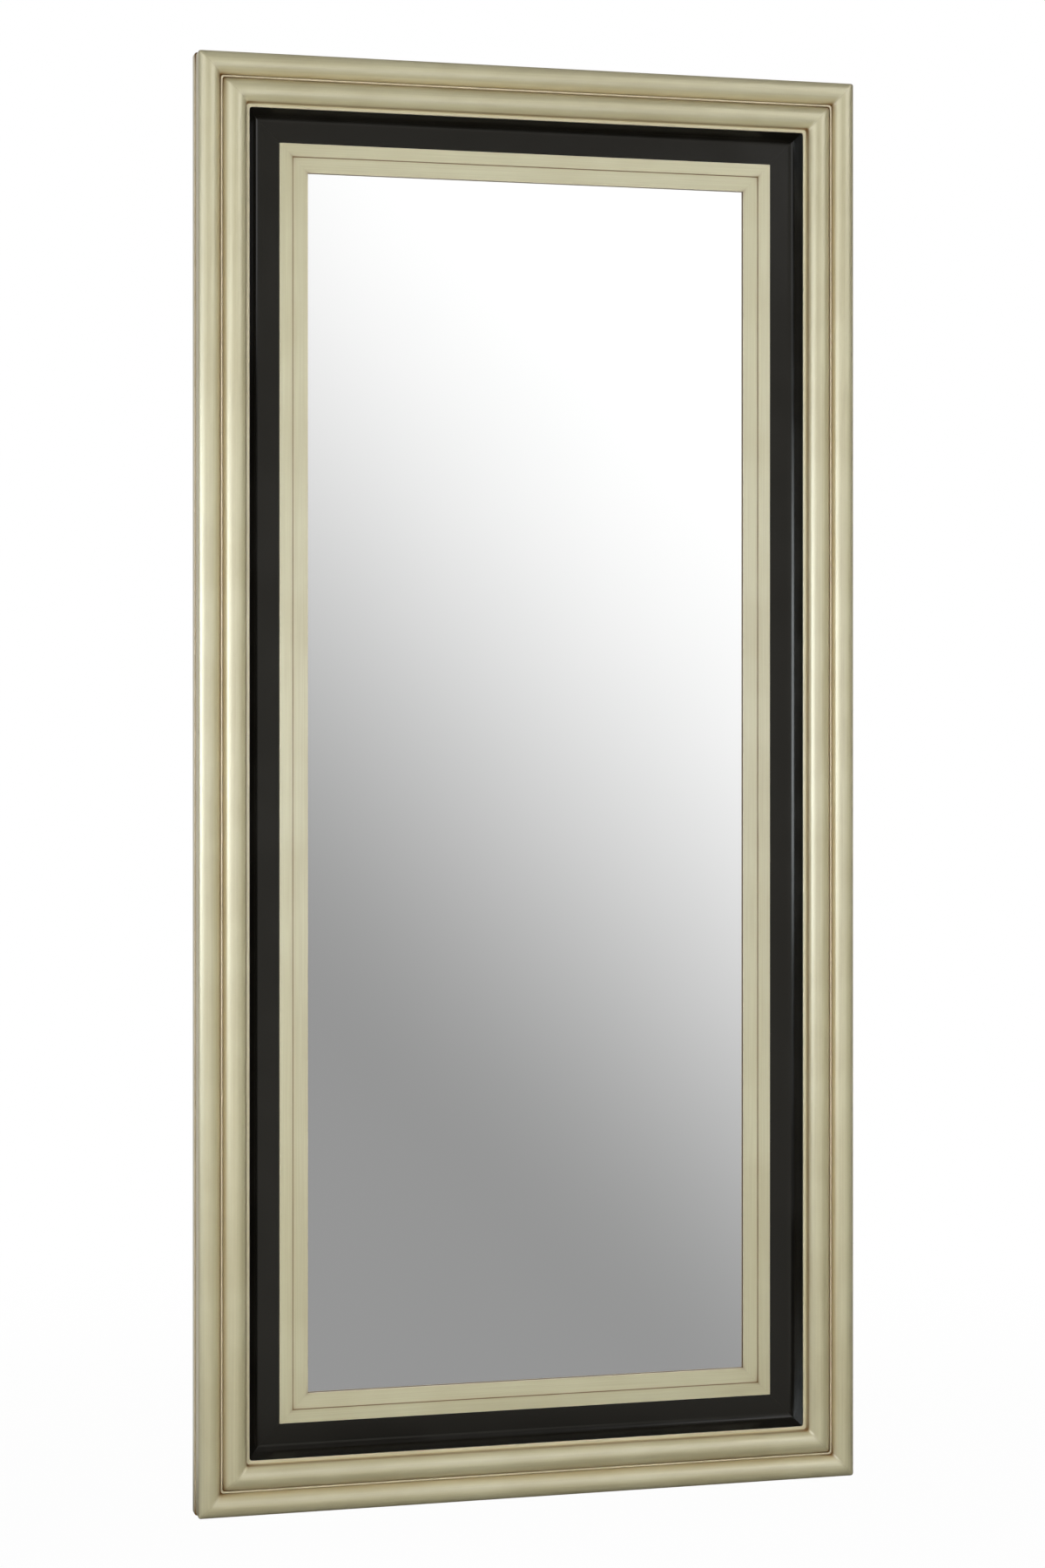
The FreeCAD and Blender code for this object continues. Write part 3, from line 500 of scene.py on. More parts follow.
def zinc_steel(name, zinc, line_width):
    material, tree, shader = new_material(name, {"Metallic": 1.0})
    plate = use_group(tree, BRUSHED_PLATE, {"Line Width": line_width, "Spot Size": 0.005})
    colour = blend_colours(tree, ease(tree, plate["Spots"], 0.3, 0.7), *zinc)
    set_colour(tree, shader, colour)
    set_roughness(tree, shader, plate["Lines"], low=0.24, high=0.42)
    set_bump(tree, shader, plate["Lines"], strength=0.1, distance=0.0002)
    return material


def soft_rubber():
    material, tree, shader = new_material("soft_rubber", {"IOR": 1.5})
    grain = noise(tree, object_place(tree), scale=700.0)
    bloom = noise(tree, object_place(tree), scale=120.0)
    colour = blend_colours(tree, ease(tree, bloom, 0.3, 0.7), *RUBBER_BLACK)
    set_colour(tree, shader, colour)
    set_roughness(tree, shader, grain, low=0.6, high=0.8)
    set_bump(tree, shader, grain, strength=0.2, distance=0.0003)
    return material


def packer_plastic():
    material, tree, shader = new_material("packer_plastic", {"IOR": 1.48})
    grain = noise(tree, object_place(tree), scale=400.0)
    colour = blend_colours(tree, grain, *PACKER_GREY)
    set_colour(tree, shader, colour)
    set_roughness(tree, shader, grain, low=0.45, high=0.6)
    return material


FINISHES = {
    "gilded": gilded_moulding(),
    "slip": gilded_slip(),
    "black": black_paint(),
    "raw": raw_wood(),
    "mirror": mirror_silver(),
    "glass_edge": glass_edge(),
    "hardboard": hardboard(),
    "plate": zinc_steel("zinc_plate", ZINC_PLATE, line_width=0.0008),
    "wire": zinc_steel("zinc_wire", ZINC_WIRE, line_width=0.0004),
    "screw": zinc_steel("zinc_screw", ZINC_SCREW, line_width=0.0003),
    "rubber": soft_rubber(),
    "packer": packer_plastic(),
}


# Sections of the mouldings

def corner(height, line, rounding, finish):
    """A corner of a section. The finish belongs to the face that leaves it."""
    return {"at": Vector((height, line)), "round": rounding, "finish": finish}


def raw_corner(height, line):
    return corner(height, line, 0.0, "raw")


def arc_points(centre, radius, start, finish, count):
    return [centre + radius * Vector((math.cos(angle), math.sin(angle)))
            for angle in (start + (finish - start) * step / count for step in range(count + 1))]


def bead_half(crest, foot, count):
    """Points from a bead's crest down to its foot, on an arc that is level at the crest."""
    run = foot.y - crest.y
    drop = crest.x - foot.x
    radius = (run ** 2 + drop ** 2) / (2 * drop)
    centre = Vector((crest.x - radius, crest.y))
    return arc_points(centre, radius, 0.0, math.atan2(run, foot.x - centre.x), count)


def bead(first_foot, crest, last_foot, face, count=18):
    """Corners over a bead, from one foot to the other."""
    points = bead_half(crest, first_foot, count)[::-1] + bead_half(crest, last_foot, count)[1:]
    return [corner(point.x, point.y, 0.0, face) for point in points]


def eased_corner(before, here, after, radius, count=4):
    """A corner replaced by an arc that touches both of its sides."""
    back = (before - here).normalized()
    ahead = (after - here).normalized()
    half = back.angle(ahead) / 2
    length = radius / math.tan(half)
    start = here + back * length
    finish = here + ahead * length
    centre = here + (back + ahead).normalized() * radius / math.sin(half)
    first = math.atan2(start.y - centre.y, start.x - centre.x)
    last = math.atan2(finish.y - centre.y, finish.x - centre.x)
    turn = (last - first + math.pi) % (2 * math.pi) - math.pi
    return arc_points(centre, radius, first, first + turn, count)


def graded_points(start, finish):
    """Points between two ends of a face, close together near the ends."""
    length = (finish - start).length
    shares = {step / length for step in GRADED_STEPS if step < length / 2}
    shares |= {1 - share for share in shares}
    return [start.lerp(finish, share) for share in sorted(shares)]


def trace(corners):
    """The section's outline as points, each with the finish of the face after it."""
    rough = []
    for index, item in enumerate(corners):
        before = corners[index - 1]["at"]
        after = corners[(index + 1) % len(corners)]["at"]
        points = [item["at"]]
        if item["round"] > 0.0:
            points = eased_corner(before, item["at"], after, item["round"])
        rough += [(point, item["finish"]) for point in points]
    outline = []
    for (point, finish), (after, _) in zip(rough, rough[1:] + rough[:1]):
        outline.append((point, finish))
        if finish != "raw":
            outline += [(between, finish) for between in graded_points(point, after)]
    return outline


def outer_section():
    face = "gilded"
    outer_bead = bead(Vector((SHOULDER_HEIGHT, LEDGE_WIDTH)), Vector((OUTER_CREST, OUTER_CREST_LINE)),
                      Vector((QUIRK_HEIGHT, OUTER_BEAD_END)), face)
    outer_bead[0]["round"] = SHOULDER_ROUND
    del outer_bead[1:3]
    inner_bead = bead(Vector((QUIRK_HEIGHT, INNER_BEAD_START)),
                      Vector((INNER_CREST, (INNER_BEAD_START + INNER_BEAD_END) / 2)),
                      Vector((QUIRK_HEIGHT, INNER_BEAD_END)), face)
    return trace([
        corner(0.0, 0.0, EDGE_ROUND, face),
        corner(BACK_STRIP_HEIGHT, 0.0, ARRIS_ROUND, face),
        corner(BACK_STRIP_HEIGHT, LEDGE_WIDTH, 0.0, face),
        *outer_bead,
        corner(QUIRK_HEIGHT, FILLET_START, 0.0, face),
        corner(FILLET_HEIGHT, FILLET_START, FILLET_ROUND, face),
        corner(FILLET_HEIGHT, FILLET_END, FILLET_ROUND, face),
        corner(QUIRK_HEIGHT, FILLET_END, 0.0, face),
        *inner_bead,
        corner(LIP_HEIGHT, INNER_BEAD_END, 0.0, face),
        corner(LIP_HEIGHT, OUTER_FACE, LIP_ROUND, face),
        raw_corner(LIP_UNDERSIDE, OUTER_FACE),
        raw_corner(LIP_UNDERSIDE, LINER_REBATE),
        raw_corner(0.0, LINER_REBATE),
    ])


def liner_section():
    face = "black"
    hidden_edge = LINER_REBATE + LINER_CLEARANCE
    return trace([
        corner(LIP_UNDERSIDE, hidden_edge, 0.0, face),
        corner(LIP_UNDERSIDE, OUTER_FACE, 0.0, face),
        corner(BLACK_HEIGHT, OUTER_FACE + WALL_RUN, VALLEY_RADIUS, face),
        raw_corner(BLACK_HEIGHT, SLIP_LINE),
        raw_corner(SLIP_SEAT_HEIGHT, SLIP_LINE),
        raw_corner(SLIP_SEAT_HEIGHT, LINER_END),
        raw_corner(GLASS_BACK, LINER_END),
        raw_corner(GLASS_BACK, BOARD_REBATE),
        raw_corner(0.0, BOARD_REBATE),
        raw_corner(0.0, hidden_edge),
    ])


def slip_section():
    face = "slip"
    outer_edge = SLIP_LINE + SLIP_CLEARANCE
    inner_wall = LINER_END + SLIP_CLEARANCE
    return trace([
        corner(SLIP_SEAT_HEIGHT, outer_edge, 0.0, face),
        corner(SLIP_HEIGHT, outer_edge, EDGE_ROUND, face),
        corner(SLIP_HEIGHT, STEP_LINE, STEP_ROUND, face),
        corner(SLIP_HEIGHT - SLIP_STEP - STEP_GROOVE, STEP_LINE, 0.0, face),
        corner(SLIP_HEIGHT - SLIP_STEP, STEP_LINE + STEP_GROOVE, 0.0, face),
        corner(SLIP_EDGE_HEIGHT, SIGHT_LINE, EDGE_ROUND, face),
        raw_corner(GLASS_FRONT, SIGHT_LINE),
        raw_corner(GLASS_FRONT, GLASS_REBATE),
        raw_corner(GLASS_BACK, GLASS_REBATE),
        raw_corner(GLASS_BACK, inner_wall),
        raw_corner(SLIP_SEAT_HEIGHT, inner_wall),
    ])


# Rails

# Painted shade on the inner bead's foot beside the lip, laid as a groove
INNER_BEAD_FOOT = Vector((QUIRK_HEIGHT + 2.5 * MM, INNER_BEAD_END - 0.7 * MM))
# Depths down the slip's sight wall where brown is painted as shade
SIGHT_SHADE_DROPS = (2.4 * MM, 3.6 * MM)
RAIL_CREASE = math.radians(38.0)
RAIL_MAP_SPACING = 5.0

# Places on a section with the distance over which each one tells
GROOVES = {
    "outer_moulding": [
        (Vector((QUIRK_HEIGHT, OUTER_BEAD_END + QUIRK_WIDTH / 2)), 1.2 * MM),
        (Vector((QUIRK_HEIGHT, FILLET_END + QUIRK_WIDTH / 2)), 1.2 * MM),
        # painted shade at the inner bead's foot
        (INNER_BEAD_FOOT, 2.0 * MM),
        (Vector((BACK_STRIP_HEIGHT, LEDGE_WIDTH)), 0.4 * MM),
    ],
    "slip": [
        # glaze in the step line, which also paints the step's shade darker
        (Vector((SLIP_HEIGHT - SLIP_STEP, STEP_LINE + STEP_GROOVE / 3)), 0.75 * MM),
        # painted shade down the sight wall
        *[(Vector((SLIP_EDGE_HEIGHT - drop, SIGHT_LINE)), 0.8 * MM) for drop in SIGHT_SHADE_DROPS],
    ],
}
# Hollows: glaze pools where rails meet, and faces near them get a tint that paints shade
HOLLOWS = {
    "outer_moulding": [
        (Vector((QUIRK_HEIGHT, OUTER_BEAD_END)), 9.0 * MM),
        (Vector((QUIRK_HEIGHT, INNER_BEAD_START)), 9.0 * MM),
        (Vector((LIP_HEIGHT, INNER_BEAD_END)), 8.0 * MM),
        (Vector((BACK_STRIP_HEIGHT, LEDGE_WIDTH)), 3.0 * MM),
    ],
    "slip": [
        (Vector((SLIP_HEIGHT - SLIP_STEP, STEP_LINE)), 5.0 * MM),
        (Vector((SLIP_EDGE_HEIGHT, SIGHT_LINE)), 5.0 * MM),
    ],
}
# Edges rubbed through to the cream ground; the cream also paints the highlight of edges that catch the light
WORN_AND_LIT_EDGES = {
    "outer_moulding": [
        (Vector((FILLET_HEIGHT, FILLET_START + EDGE_ROUND)), 0.8 * MM),
        (Vector((FILLET_HEIGHT, (FILLET_START + FILLET_END) / 2)), 0.8 * MM),
        (Vector((FILLET_HEIGHT, FILLET_END - EDGE_ROUND)), 0.8 * MM),
        (Vector((BACK_STRIP_HEIGHT, ARRIS_ROUND / 2)), 1.0 * MM),
        (Vector((LIP_HEIGHT - LIP_ROUND / 3, OUTER_FACE - LIP_ROUND / 3)), 0.8 * MM),
    ],
    "slip": [
        (Vector((SLIP_HEIGHT, SLIP_LINE + SLIP_CLEARANCE)), 0.8 * MM),
        (Vector((SLIP_EDGE_HEIGHT, SIGHT_LINE)), 0.8 * MM),
    ],
}
# Distances of a rail's loops from its mitre, and the number of stretches between the last ones
MITRE_STEPS = [step * MM for step in (0.0, 0.4, 0.9, 1.5, 2.2, 3.0, 4.0, 8.0, 16.0)]
RUN_STEPS = 10


def nearness(point, places):
    """One at a place of the section, falling away with distance from it."""
    return max((math.exp(-((point - place).length / reach) ** 2) for place, reach in places), default=0.0)


def stands_clear(point):
    """Whether a point of the outer section lies on the fillet or the lip, where the hollows' glaze tint and
    painted shade are wiped clean.
    """
    on_fillet = FILLET_START <= point.y <= FILLET_END and point.x > QUIRK_HEIGHT + EDGE_ROUND
    return on_fillet or INNER_BEAD_END + EDGE_ROUND < point.y <= OUTER_FACE


def rail_place(side, along, height, line):
    """A point of a rail in the frame's own coordinates."""
    y = FRAME_BACK - height
    outwards = 1 if side in ("right", "top") else -1
    if side in ("left", "right"):
        return (outwards * (HALF_WIDTH - line), y, along)
    return (along, y, outwards * (HALF_HEIGHT - line))


def rail_loops(half_length, outline, soft_mitre):
    """Loops of (along, height, line) from one mitre to the other.

    The finish rounds the corner of every line a little.
    """
    loops = []
    for step in MITRE_STEPS:
        push = soft_mitre / 4 * (1 - step / soft_mitre) ** 2 if step < soft_mitre else 0.0
        loops.append([(half_length - point.y - push - step, point.x, point.y + push) for point, _ in outline])
    ends = [[(-along, height, line) for along, height, line in loop] for loop in loops]
    inner = []
    for step in range(1, RUN_STEPS):
        share = 2 * step / RUN_STEPS - 1
        inner.append([(share * (half_length - point.y - MITRE_STEPS[-1]), point.x, point.y)
                      for point, _ in outline])
    return ends + inner + loops[::-1]


def add_object(name, data):
    item = bpy.data.objects.new(name, data)
    bpy.context.scene.collection.objects.link(item)
    return item


def soften(mesh, crease=None):
    """Shade a mesh smooth, with sharp lines where its faces turn by more than a crease."""
    mesh.polygons.foreach_set("use_smooth", [True] * len(mesh.polygons))
    if crease:
        mesh.set_sharp_from_angle(angle=crease)


def add_piece(name, mesh, body, node):
    """A finished piece that rides a body in place of a plain node."""
    piece = add_object(name, mesh)
    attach(piece, body)
    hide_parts(node)
    return piece


def mesh_from(shape, name, *finishes):
    """Turn an edited shape into a mesh with the given finishes."""
    mesh = bpy.data.meshes.new(name)
    shape.to_mesh(mesh)
    shape.free()
    for finish in finishes:
        mesh.materials.append(FINISHES[finish])
    return mesh


def make_rail(family, side, outline, soft_mitre):
    """A mitred rail swept from its section, with maps that its finish reads."""
    half_length = HALF_HEIGHT if side in ("left", "right") else HALF_WIDTH
    loops = rail_loops(half_length, outline, soft_mitre)
    count = len(outline)
    lengths = [0.0]
    for (point, _), (after, _) in zip(outline, outline[1:]):
        lengths.append(lengths[-1] + (after - point).length)
    finishes = sorted({finish for _, finish in outline})
    vertices = [rail_place(side, *spot) for loop in loops for spot in loop]
    faces = []
    slots = []
    for row in range(len(loops) - 1):
        for column in range(count):
            nearby = (column + 1) % count
            faces.append((row * count + column, row * count + nearby,
                          (row + 1) * count + nearby, (row + 1) * count + column))
            slots.append(finishes.index(outline[column][1]))
    last = (len(loops) - 1) * count
    faces += [tuple(range(count)), tuple(range(last, last + count))]
    slots += [finishes.index("raw")] * 2
    mesh = bpy.data.meshes.new(f"{family}_{side}_finished")
    mesh.from_pydata(vertices, [], faces)
    for finish in finishes:
        mesh.materials.append(FINISHES[finish])
    mesh.polygons.foreach_set("material_index", slots)
    write_rail_maps(mesh, family, side, half_length, loops, outline, lengths)
    face_outwards(mesh)
    soften(mesh, RAIL_CREASE)
    add_piece(mesh.name, mesh, "frame", f"{family}_{side}")


def lip_corner(outline):
    """The number of the highest point on the edge that looks to the mirror, where the lip turns down."""
    heights = [point.x if point.y >= OUTER_FACE - SAME_PLACE else 0.0 for point, _ in outline]
    return heights.index(max(heights))


def write_rail_maps(mesh, family, side, half_length, loops, outline, lengths):
    """Grooves, hollows, worn edges and distances for the finish, with a map along and across the rail.
    Grooves and hollows also place painted shade, and worn edges painted highlights.
    """
    lip_end = lip_corner(outline)
    points = [point for point, _ in outline]
    round_section = {
        "groove": [nearness(point, GROOVES.get(family, ())) for point in points],
        "hollow": [0.0 if stands_clear(point) else nearness(point, HOLLOWS.get(family, ()))
                   for point in points],
        "worn_and_lit": [nearness(point, WORN_AND_LIT_EDGES.get(family, ())) for point in points],
        "lip_drop": [length - lengths[lip_end] for length in lengths],
    }
    maps = {name: values * len(loops) for name, values in round_section.items()}
    maps["mitre"] = [max(half_length - line - abs(along), 0.0) for loop in loops for along, _, line in loop]
    for name, values in maps.items():
        mesh.attributes.new(name, "FLOAT", "POINT").data.foreach_set("value", values)
    start = RAIL_MAP_SPACING * SIDES.index(side)
    rail_map = [(start + along, length) for loop in loops for (along, _, _), length in zip(loop, lengths)]
    layer = mesh.uv_layers.new(name="RailMap")
    for loop in mesh.loops:
        layer.data[loop.index].uv = rail_map[loop.vertex_index]


def face_outwards(mesh):
    shape = bmesh.new()
    shape.from_mesh(mesh)
    bmesh.ops.recalc_face_normals(shape, faces=shape.faces)
    shape.to_mesh(mesh)
    shape.free()


SECTIONS = {"outer_moulding": outer_section(), "black_liner": liner_section(), "slip": slip_section()}
for family, outline in SECTIONS.items():
    for side in SIDES:
        make_rail(family, side, outline, SOFT_MITRE if family == "outer_moulding" else 0.0)


# Pane

GROUND_EDGE = 0.6 * MM
FACING_FRONT = -0.99


def make_pane():
    """The silvered pane with ground edges: its front face is the mirror."""
    low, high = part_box("mirror_glass")
    shape = bmesh.new()
    bmesh.ops.create_cube(shape, size=1.0)
    for vertex in shape.verts:
        share = vertex.co + Vector((0.5, 0.5, 0.5))
        vertex.co = Vector(low[axis] + share[axis] * (high[axis] - low[axis]) for axis in range(3))
    bmesh.ops.bevel(shape, geom=shape.edges[:], offset=GROUND_EDGE, segments=2, affect="EDGES", profile=0.5)
    shape.normal_update()
    for face in shape.faces:
        face.material_index = 0 if face.normal.y < FACING_FRONT else 1
    mesh = mesh_from(shape, "mirror_pane", "mirror", "glass_edge")
    return add_piece("mirror_pane", mesh, "frame", "mirror_glass")


mirror_pane = make_pane()


# Fittings on the back

FITTING_CREASE = math.radians(35.0)
SHARP_TURN = math.radians(50.0)
FLAT_TURN = math.radians(1.0)
WELD = 0.002 * MM
PLATE_EDGE = 0.3 * MM
STRAP_EDGE = 0.2 * MM


def repaint(mesh, finish):
    mesh.materials.clear()
    mesh.materials.append(FINISHES[finish])


def press_steel(name, edge):
    """A pressed steel piece with its edges broken, in place of its plain solid."""
    mesh = nodes[name].data.copy()
    mesh.name = f"{name}_pressed"
    shape = bmesh.new()
    shape.from_mesh(mesh)
    bmesh.ops.remove_doubles(shape, verts=shape.verts, dist=WELD)
    bmesh.ops.dissolve_limit(shape, angle_limit=FLAT_TURN, verts=shape.verts, edges=shape.edges)
    shape.to_mesh(mesh)
    shape.free()
    repaint(mesh, "plate")
    soften(mesh, FITTING_CREASE)
    piece = add_piece(mesh.name, mesh, "frame", name)
    bevel = piece.modifiers.new("broken_edges", "BEVEL")
    bevel.width = edge
    bevel.segments = 2
    bevel.limit_method = "ANGLE"
    bevel.angle_limit = SHARP_TURN


for corner_name in ("top_left", "top_right", "bottom_left", "bottom_right"):
    press_steel(f"corner_plate_{corner_name}", PLATE_EDGE)
press_steel("liner_clips", PLATE_EDGE)
for side in ("left", "right"):
    press_steel(f"hanger_strap_{side}", STRAP_EDGE)


def islands(name):
    """The lowest and highest corner of each separate solid in a node."""
    shape = bmesh.new()
    shape.from_mesh(nodes[name].data)
    bmesh.ops.remove_doubles(shape, verts=shape.verts, dist=WELD)
    found = []
    waiting = set(shape.verts)
    while waiting:
        stack = [waiting.pop()]
        reached = []
        while stack:
            vertex = stack.pop()
            reached.append(vertex.co.copy())
            for edge in vertex.link_edges:
                other = edge.other_vert(vertex)
                if other in waiting:
                    waiting.remove(other)
                    stack.append(other)
        found.append((Vector(map(min, zip(*reached))), Vector(map(max, zip(*reached)))))
    shape.free()
    return sorted(found, key=lambda ends: tuple(round(value, 5) for value in ends[0]))


def lathe(shape, profile, count):
    """Turn (radius, distance along Y) points about Y into a closed surface."""
    rings = []
    for radius, y in profile:
        if radius == 0.0:
            rings.append([shape.verts.new((0.0, y, 0.0))] * count)
        else:
            rings.append([shape.verts.new((radius * math.cos(angle), y, radius * math.sin(angle)))
                          for angle in (2 * math.pi * step / count for step in range(count))])
    for first, second in zip(rings, rings[1:]):
        for step in range(count):
            corners = [first[step], first[(step + 1) % count], second[(step + 1) % count], second[step]]
            unique = list(dict.fromkeys(corners))
            if len(unique) > 2:
                shape.faces.new(unique)


LARGE_SCREW = {"head_height": 2.4 * MM, "head_radius": 3.8 * MM, "shank_radius": 2.0 * MM}
SMALL_SCREW = {"head_height": 1.8 * MM, "head_radius": 3.0 * MM, "shank_radius": 1.5 * MM}
SCREW_TURN = 2.4
DOME_STEPS = 8
# Shares of a screw's head and of its shank
HEAD_RIM = 0.35
CROSS_TOP = 1.4
CROSS_FLOOR = 0.35
CROSS_REACH = 0.58
CROSS_SLOT = 0.13
CROSS_TAPER = 0.45
POINT_WIDTH = 0.6
POINT_START = 0.85


def turned(spot, turn):
    """A point turned about Y."""
    x, y, z = spot
    return Vector((x * math.cos(turn) - z * math.sin(turn), y, x * math.sin(turn) + z * math.cos(turn)))


def quarter_turn(count):
    """Angles from zero to a right angle."""
    return [math.pi / 2 * step / count for step in range(count + 1)]


def screw_mesh(name, radius, height, shank_radius, shank_length):
    """A pan-headed screw with a cross recess. Its seat is at y = 0 and its tip points to -Y."""
    shape = bmesh.new()
    dome = [(radius * math.cos(angle), height * (HEAD_RIM + (1 - HEAD_RIM) * math.sin(angle)))
            for angle in quarter_turn(DOME_STEPS)[:-1]]
    tip = [(0.0, -shank_length), (shank_radius * POINT_WIDTH, -shank_length),
           (shank_radius, -shank_length * POINT_START)]
    lathe(shape, [*tip, (shank_radius, 0.0), (radius, 0.0), *dome, (0.0, height)], count=24)
    bmesh.ops.recalc_face_normals(shape, faces=shape.faces)
    body = mesh_from(shape, name)
    shape = bmesh.new()
    for turn in (0.0, math.pi / 2):
        for vertex in bmesh.ops.create_cube(shape, size=2.0)["verts"]:
            x, y, z = vertex.co
            reach = radius * CROSS_REACH * (1.0 if y > 0 else CROSS_TAPER)
            level = height * (CROSS_TOP if y > 0 else CROSS_FLOOR)
            vertex.co = turned((x * reach, level, z * radius * CROSS_SLOT), turn)
    return cut_mesh(body, mesh_from(shape, f"{name}_cross"))


def cut_mesh(body, cutter):
    """One mesh with another cut out of it."""
    holder = add_object(body.name, body)
    tool = add_object(cutter.name, cutter)
    boolean = holder.modifiers.new("recess", "BOOLEAN")
    boolean.operation = "DIFFERENCE"
    boolean.object = tool
    boolean.solver = "EXACT"
    boolean.use_self = True
    graph = bpy.context.evaluated_depsgraph_get()
    result = bpy.data.meshes.new_from_object(holder.evaluated_get(graph))
    bpy.data.objects.remove(holder)
    bpy.data.objects.remove(tool)
    return result


def make_screws(name, head_height, head_radius, shank_radius):
    """Cross-headed screws at the places of the node's plain ones, each turned its own way."""
    places = islands(name)
    low, high = places[0]
    length = high.y - low.y - head_height
    pattern = screw_mesh(f"{name}_pattern", head_radius, head_height, shank_radius, length)
    shape = bmesh.new()
    for number, (low, high) in enumerate(places):
        before = len(shape.verts)
        shape.from_mesh(pattern)
        shape.verts.ensure_lookup_table()
        seat = Vector(((low.x + high.x) / 2, high.y - head_height, (low.z + high.z) / 2))
        for vertex in shape.verts[before:]:
            vertex.co = seat + turned(vertex.co, number * SCREW_TURN)
    mesh = mesh_from(shape, f"{name}_crossed", "screw")
    soften(mesh, FITTING_CREASE)
    add_piece(mesh.name, mesh, "frame", name)


make_screws("plate_screws", **LARGE_SCREW)
make_screws("hanger_screws", **LARGE_SCREW)
make_screws("board_screws", **SMALL_SCREW)

RING_WIRE = 3.2 * MM
RING_CORNER = 4.0 * MM
BEND_STEPS = 8
BOW_STEPS = 40


def ring_route(half_width, corner_radius):
    """Points round a D: the straight bar, two tight bends and the round bow below."""
    bend = half_width - corner_radius
    low = Vector((0.0, -corner_radius))
    route = arc_points(Vector((bend, -corner_radius)), corner_radius, math.pi / 2, 0.0, BEND_STEPS)
    route += arc_points(low, half_width, 0.0, -math.pi, BOW_STEPS)[1:-1]
    route += arc_points(Vector((-bend, -corner_radius)), corner_radius, math.pi, math.pi / 2, BEND_STEPS)
    return route


def make_ring(side):
    """A hanger ring bent from one wire."""
    low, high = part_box(f"hanger_ring_{side}")
    middle = Vector(((low.x + high.x) / 2, (low.y + high.y) / 2, high.z - RING_WIRE / 2))
    half_width = (high.x - low.x - RING_WIRE) / 2
    curve = bpy.data.curves.new(f"hanger_ring_{side}_wire", "CURVE")
    curve.dimensions = "3D"
    curve.bevel_depth = RING_WIRE / 2
    curve.bevel_resolution = 6
    route = ring_route(half_width, RING_CORNER)
    spline = curve.splines.new("POLY")
    spline.points.add(len(route) - 1)
    spline.use_cyclic_u = True
    for point, spot in zip(spline.points, route):
        point.co = (middle.x + spot.x, middle.y, middle.z + spot.y, 1.0)
    curve.materials.append(FINISHES["wire"])
    bent = add_object(curve.name, curve)
    bpy.context.view_layer.update()
    mesh = bpy.data.meshes.new_from_object(bent.evaluated_get(bpy.context.evaluated_depsgraph_get()))
    bpy.data.objects.remove(bent)
    soften(mesh)
    add_piece(f"hanger_ring_{side}_bent", mesh, f"ring_{side}", f"hanger_ring_{side}")


for side in ("left", "right"):
    make_ring(side)

BUMPER_RIM = 1.5 * MM
DISH_DEPTH = 1.2 * MM
DISH_MOUTH = 0.55
DISH_FLOOR = 0.45
RIM_STEPS = 6


def make_bumpers():
    """Turned rubber feet with a shallow dish in the face that meets the wall."""
    shape = bmesh.new()
    for low, high in islands("wall_bumpers"):
        before = len(shape.verts)
        radius = (high.x - low.x) / 2
        tall = high.y - low.y
        rim = [(radius + BUMPER_RIM * (math.cos(angle) - 1), tall + BUMPER_RIM * (math.sin(angle) - 1))
               for angle in quarter_turn(RIM_STEPS)]
        floor = tall - DISH_DEPTH
        dish = [(radius * DISH_MOUTH, tall), (radius * DISH_FLOOR, floor), (0.0, floor)]
        lathe(shape, [(0.0, 0.0), (radius, 0.0), *rim, *dish], count=48)
        shape.verts.ensure_lookup_table()
        for vertex in shape.verts[before:]:
            vertex.co += Vector(((low.x + high.x) / 2, low.y, (low.z + high.z) / 2))
    bmesh.ops.recalc_face_normals(shape, faces=shape.faces)
    mesh = mesh_from(shape, "wall_bumpers_turned", "rubber")
    soften(mesh, FITTING_CREASE)
    add_piece(mesh.name, mesh, "frame", "wall_bumpers")


make_bumpers()
repaint(nodes["backing_board"].data, "hardboard")
repaint(nodes["glass_packers"].data, "packer")


# Studio: floor, light and camera

FLOOR_DROP = 0.12
FLOOR_LEVEL = cad_low.z - FLOOR_DROP
FLOOR_REACH = 30.0
FLOOR_PAINT = (0.6, 0.6, 0.6, 1.0)
FLOOR_DARK = (0.03, 0.024, 0.016, 1.0)
PURE_WHITE = (1.0, 1.0, 1.0, 1.0)
# Runs of a value: where each starts and ends, and what it is there if not zero and one
WHITE_BY_DISTANCE = (1.0, 2.6, 0.975, 1.0)
CLEAR_BY_DISTANCE = (0.7, 1.1)
LEAN_BY_SIDE = (0.36, 0.8, 1.035, 0.0)
PALE_BY_HEIGHT = (0.07, 0.395, 0.3135, 1.055)
LIFT_BY_DEPTH = (-0.26, -0.7, 0.0, 0.45)
FADE_BY_STEEPNESS = (0.6, 0.8, 1.0, 0.12)
CEILING_GLOW = (0.70, 0.82, 0.02, 0.3)
WALL_GLOW = (0.3, 0.6, 0.02, 0.7)
LAMP_TARGET = Vector((0.0, 0.0, 0.1))
WHITE_LIGHT = (1.0, 1.0, 1.0)
WINDOW_LIGHT = (0.93, 1.0, 1.02)
WALL_LIGHT = (1.0, 0.97, 0.86)
ROOM_LIGHT = (1.0, 0.95, 0.86, 1.0)
KEPT_DARK = bpy.data.collections.new("kept_from_lamps")
KEPT_DARK.objects.link(mirror_pane)
KEPT_DARK.collection_objects[0].light_linking.link_state = "EXCLUDE"


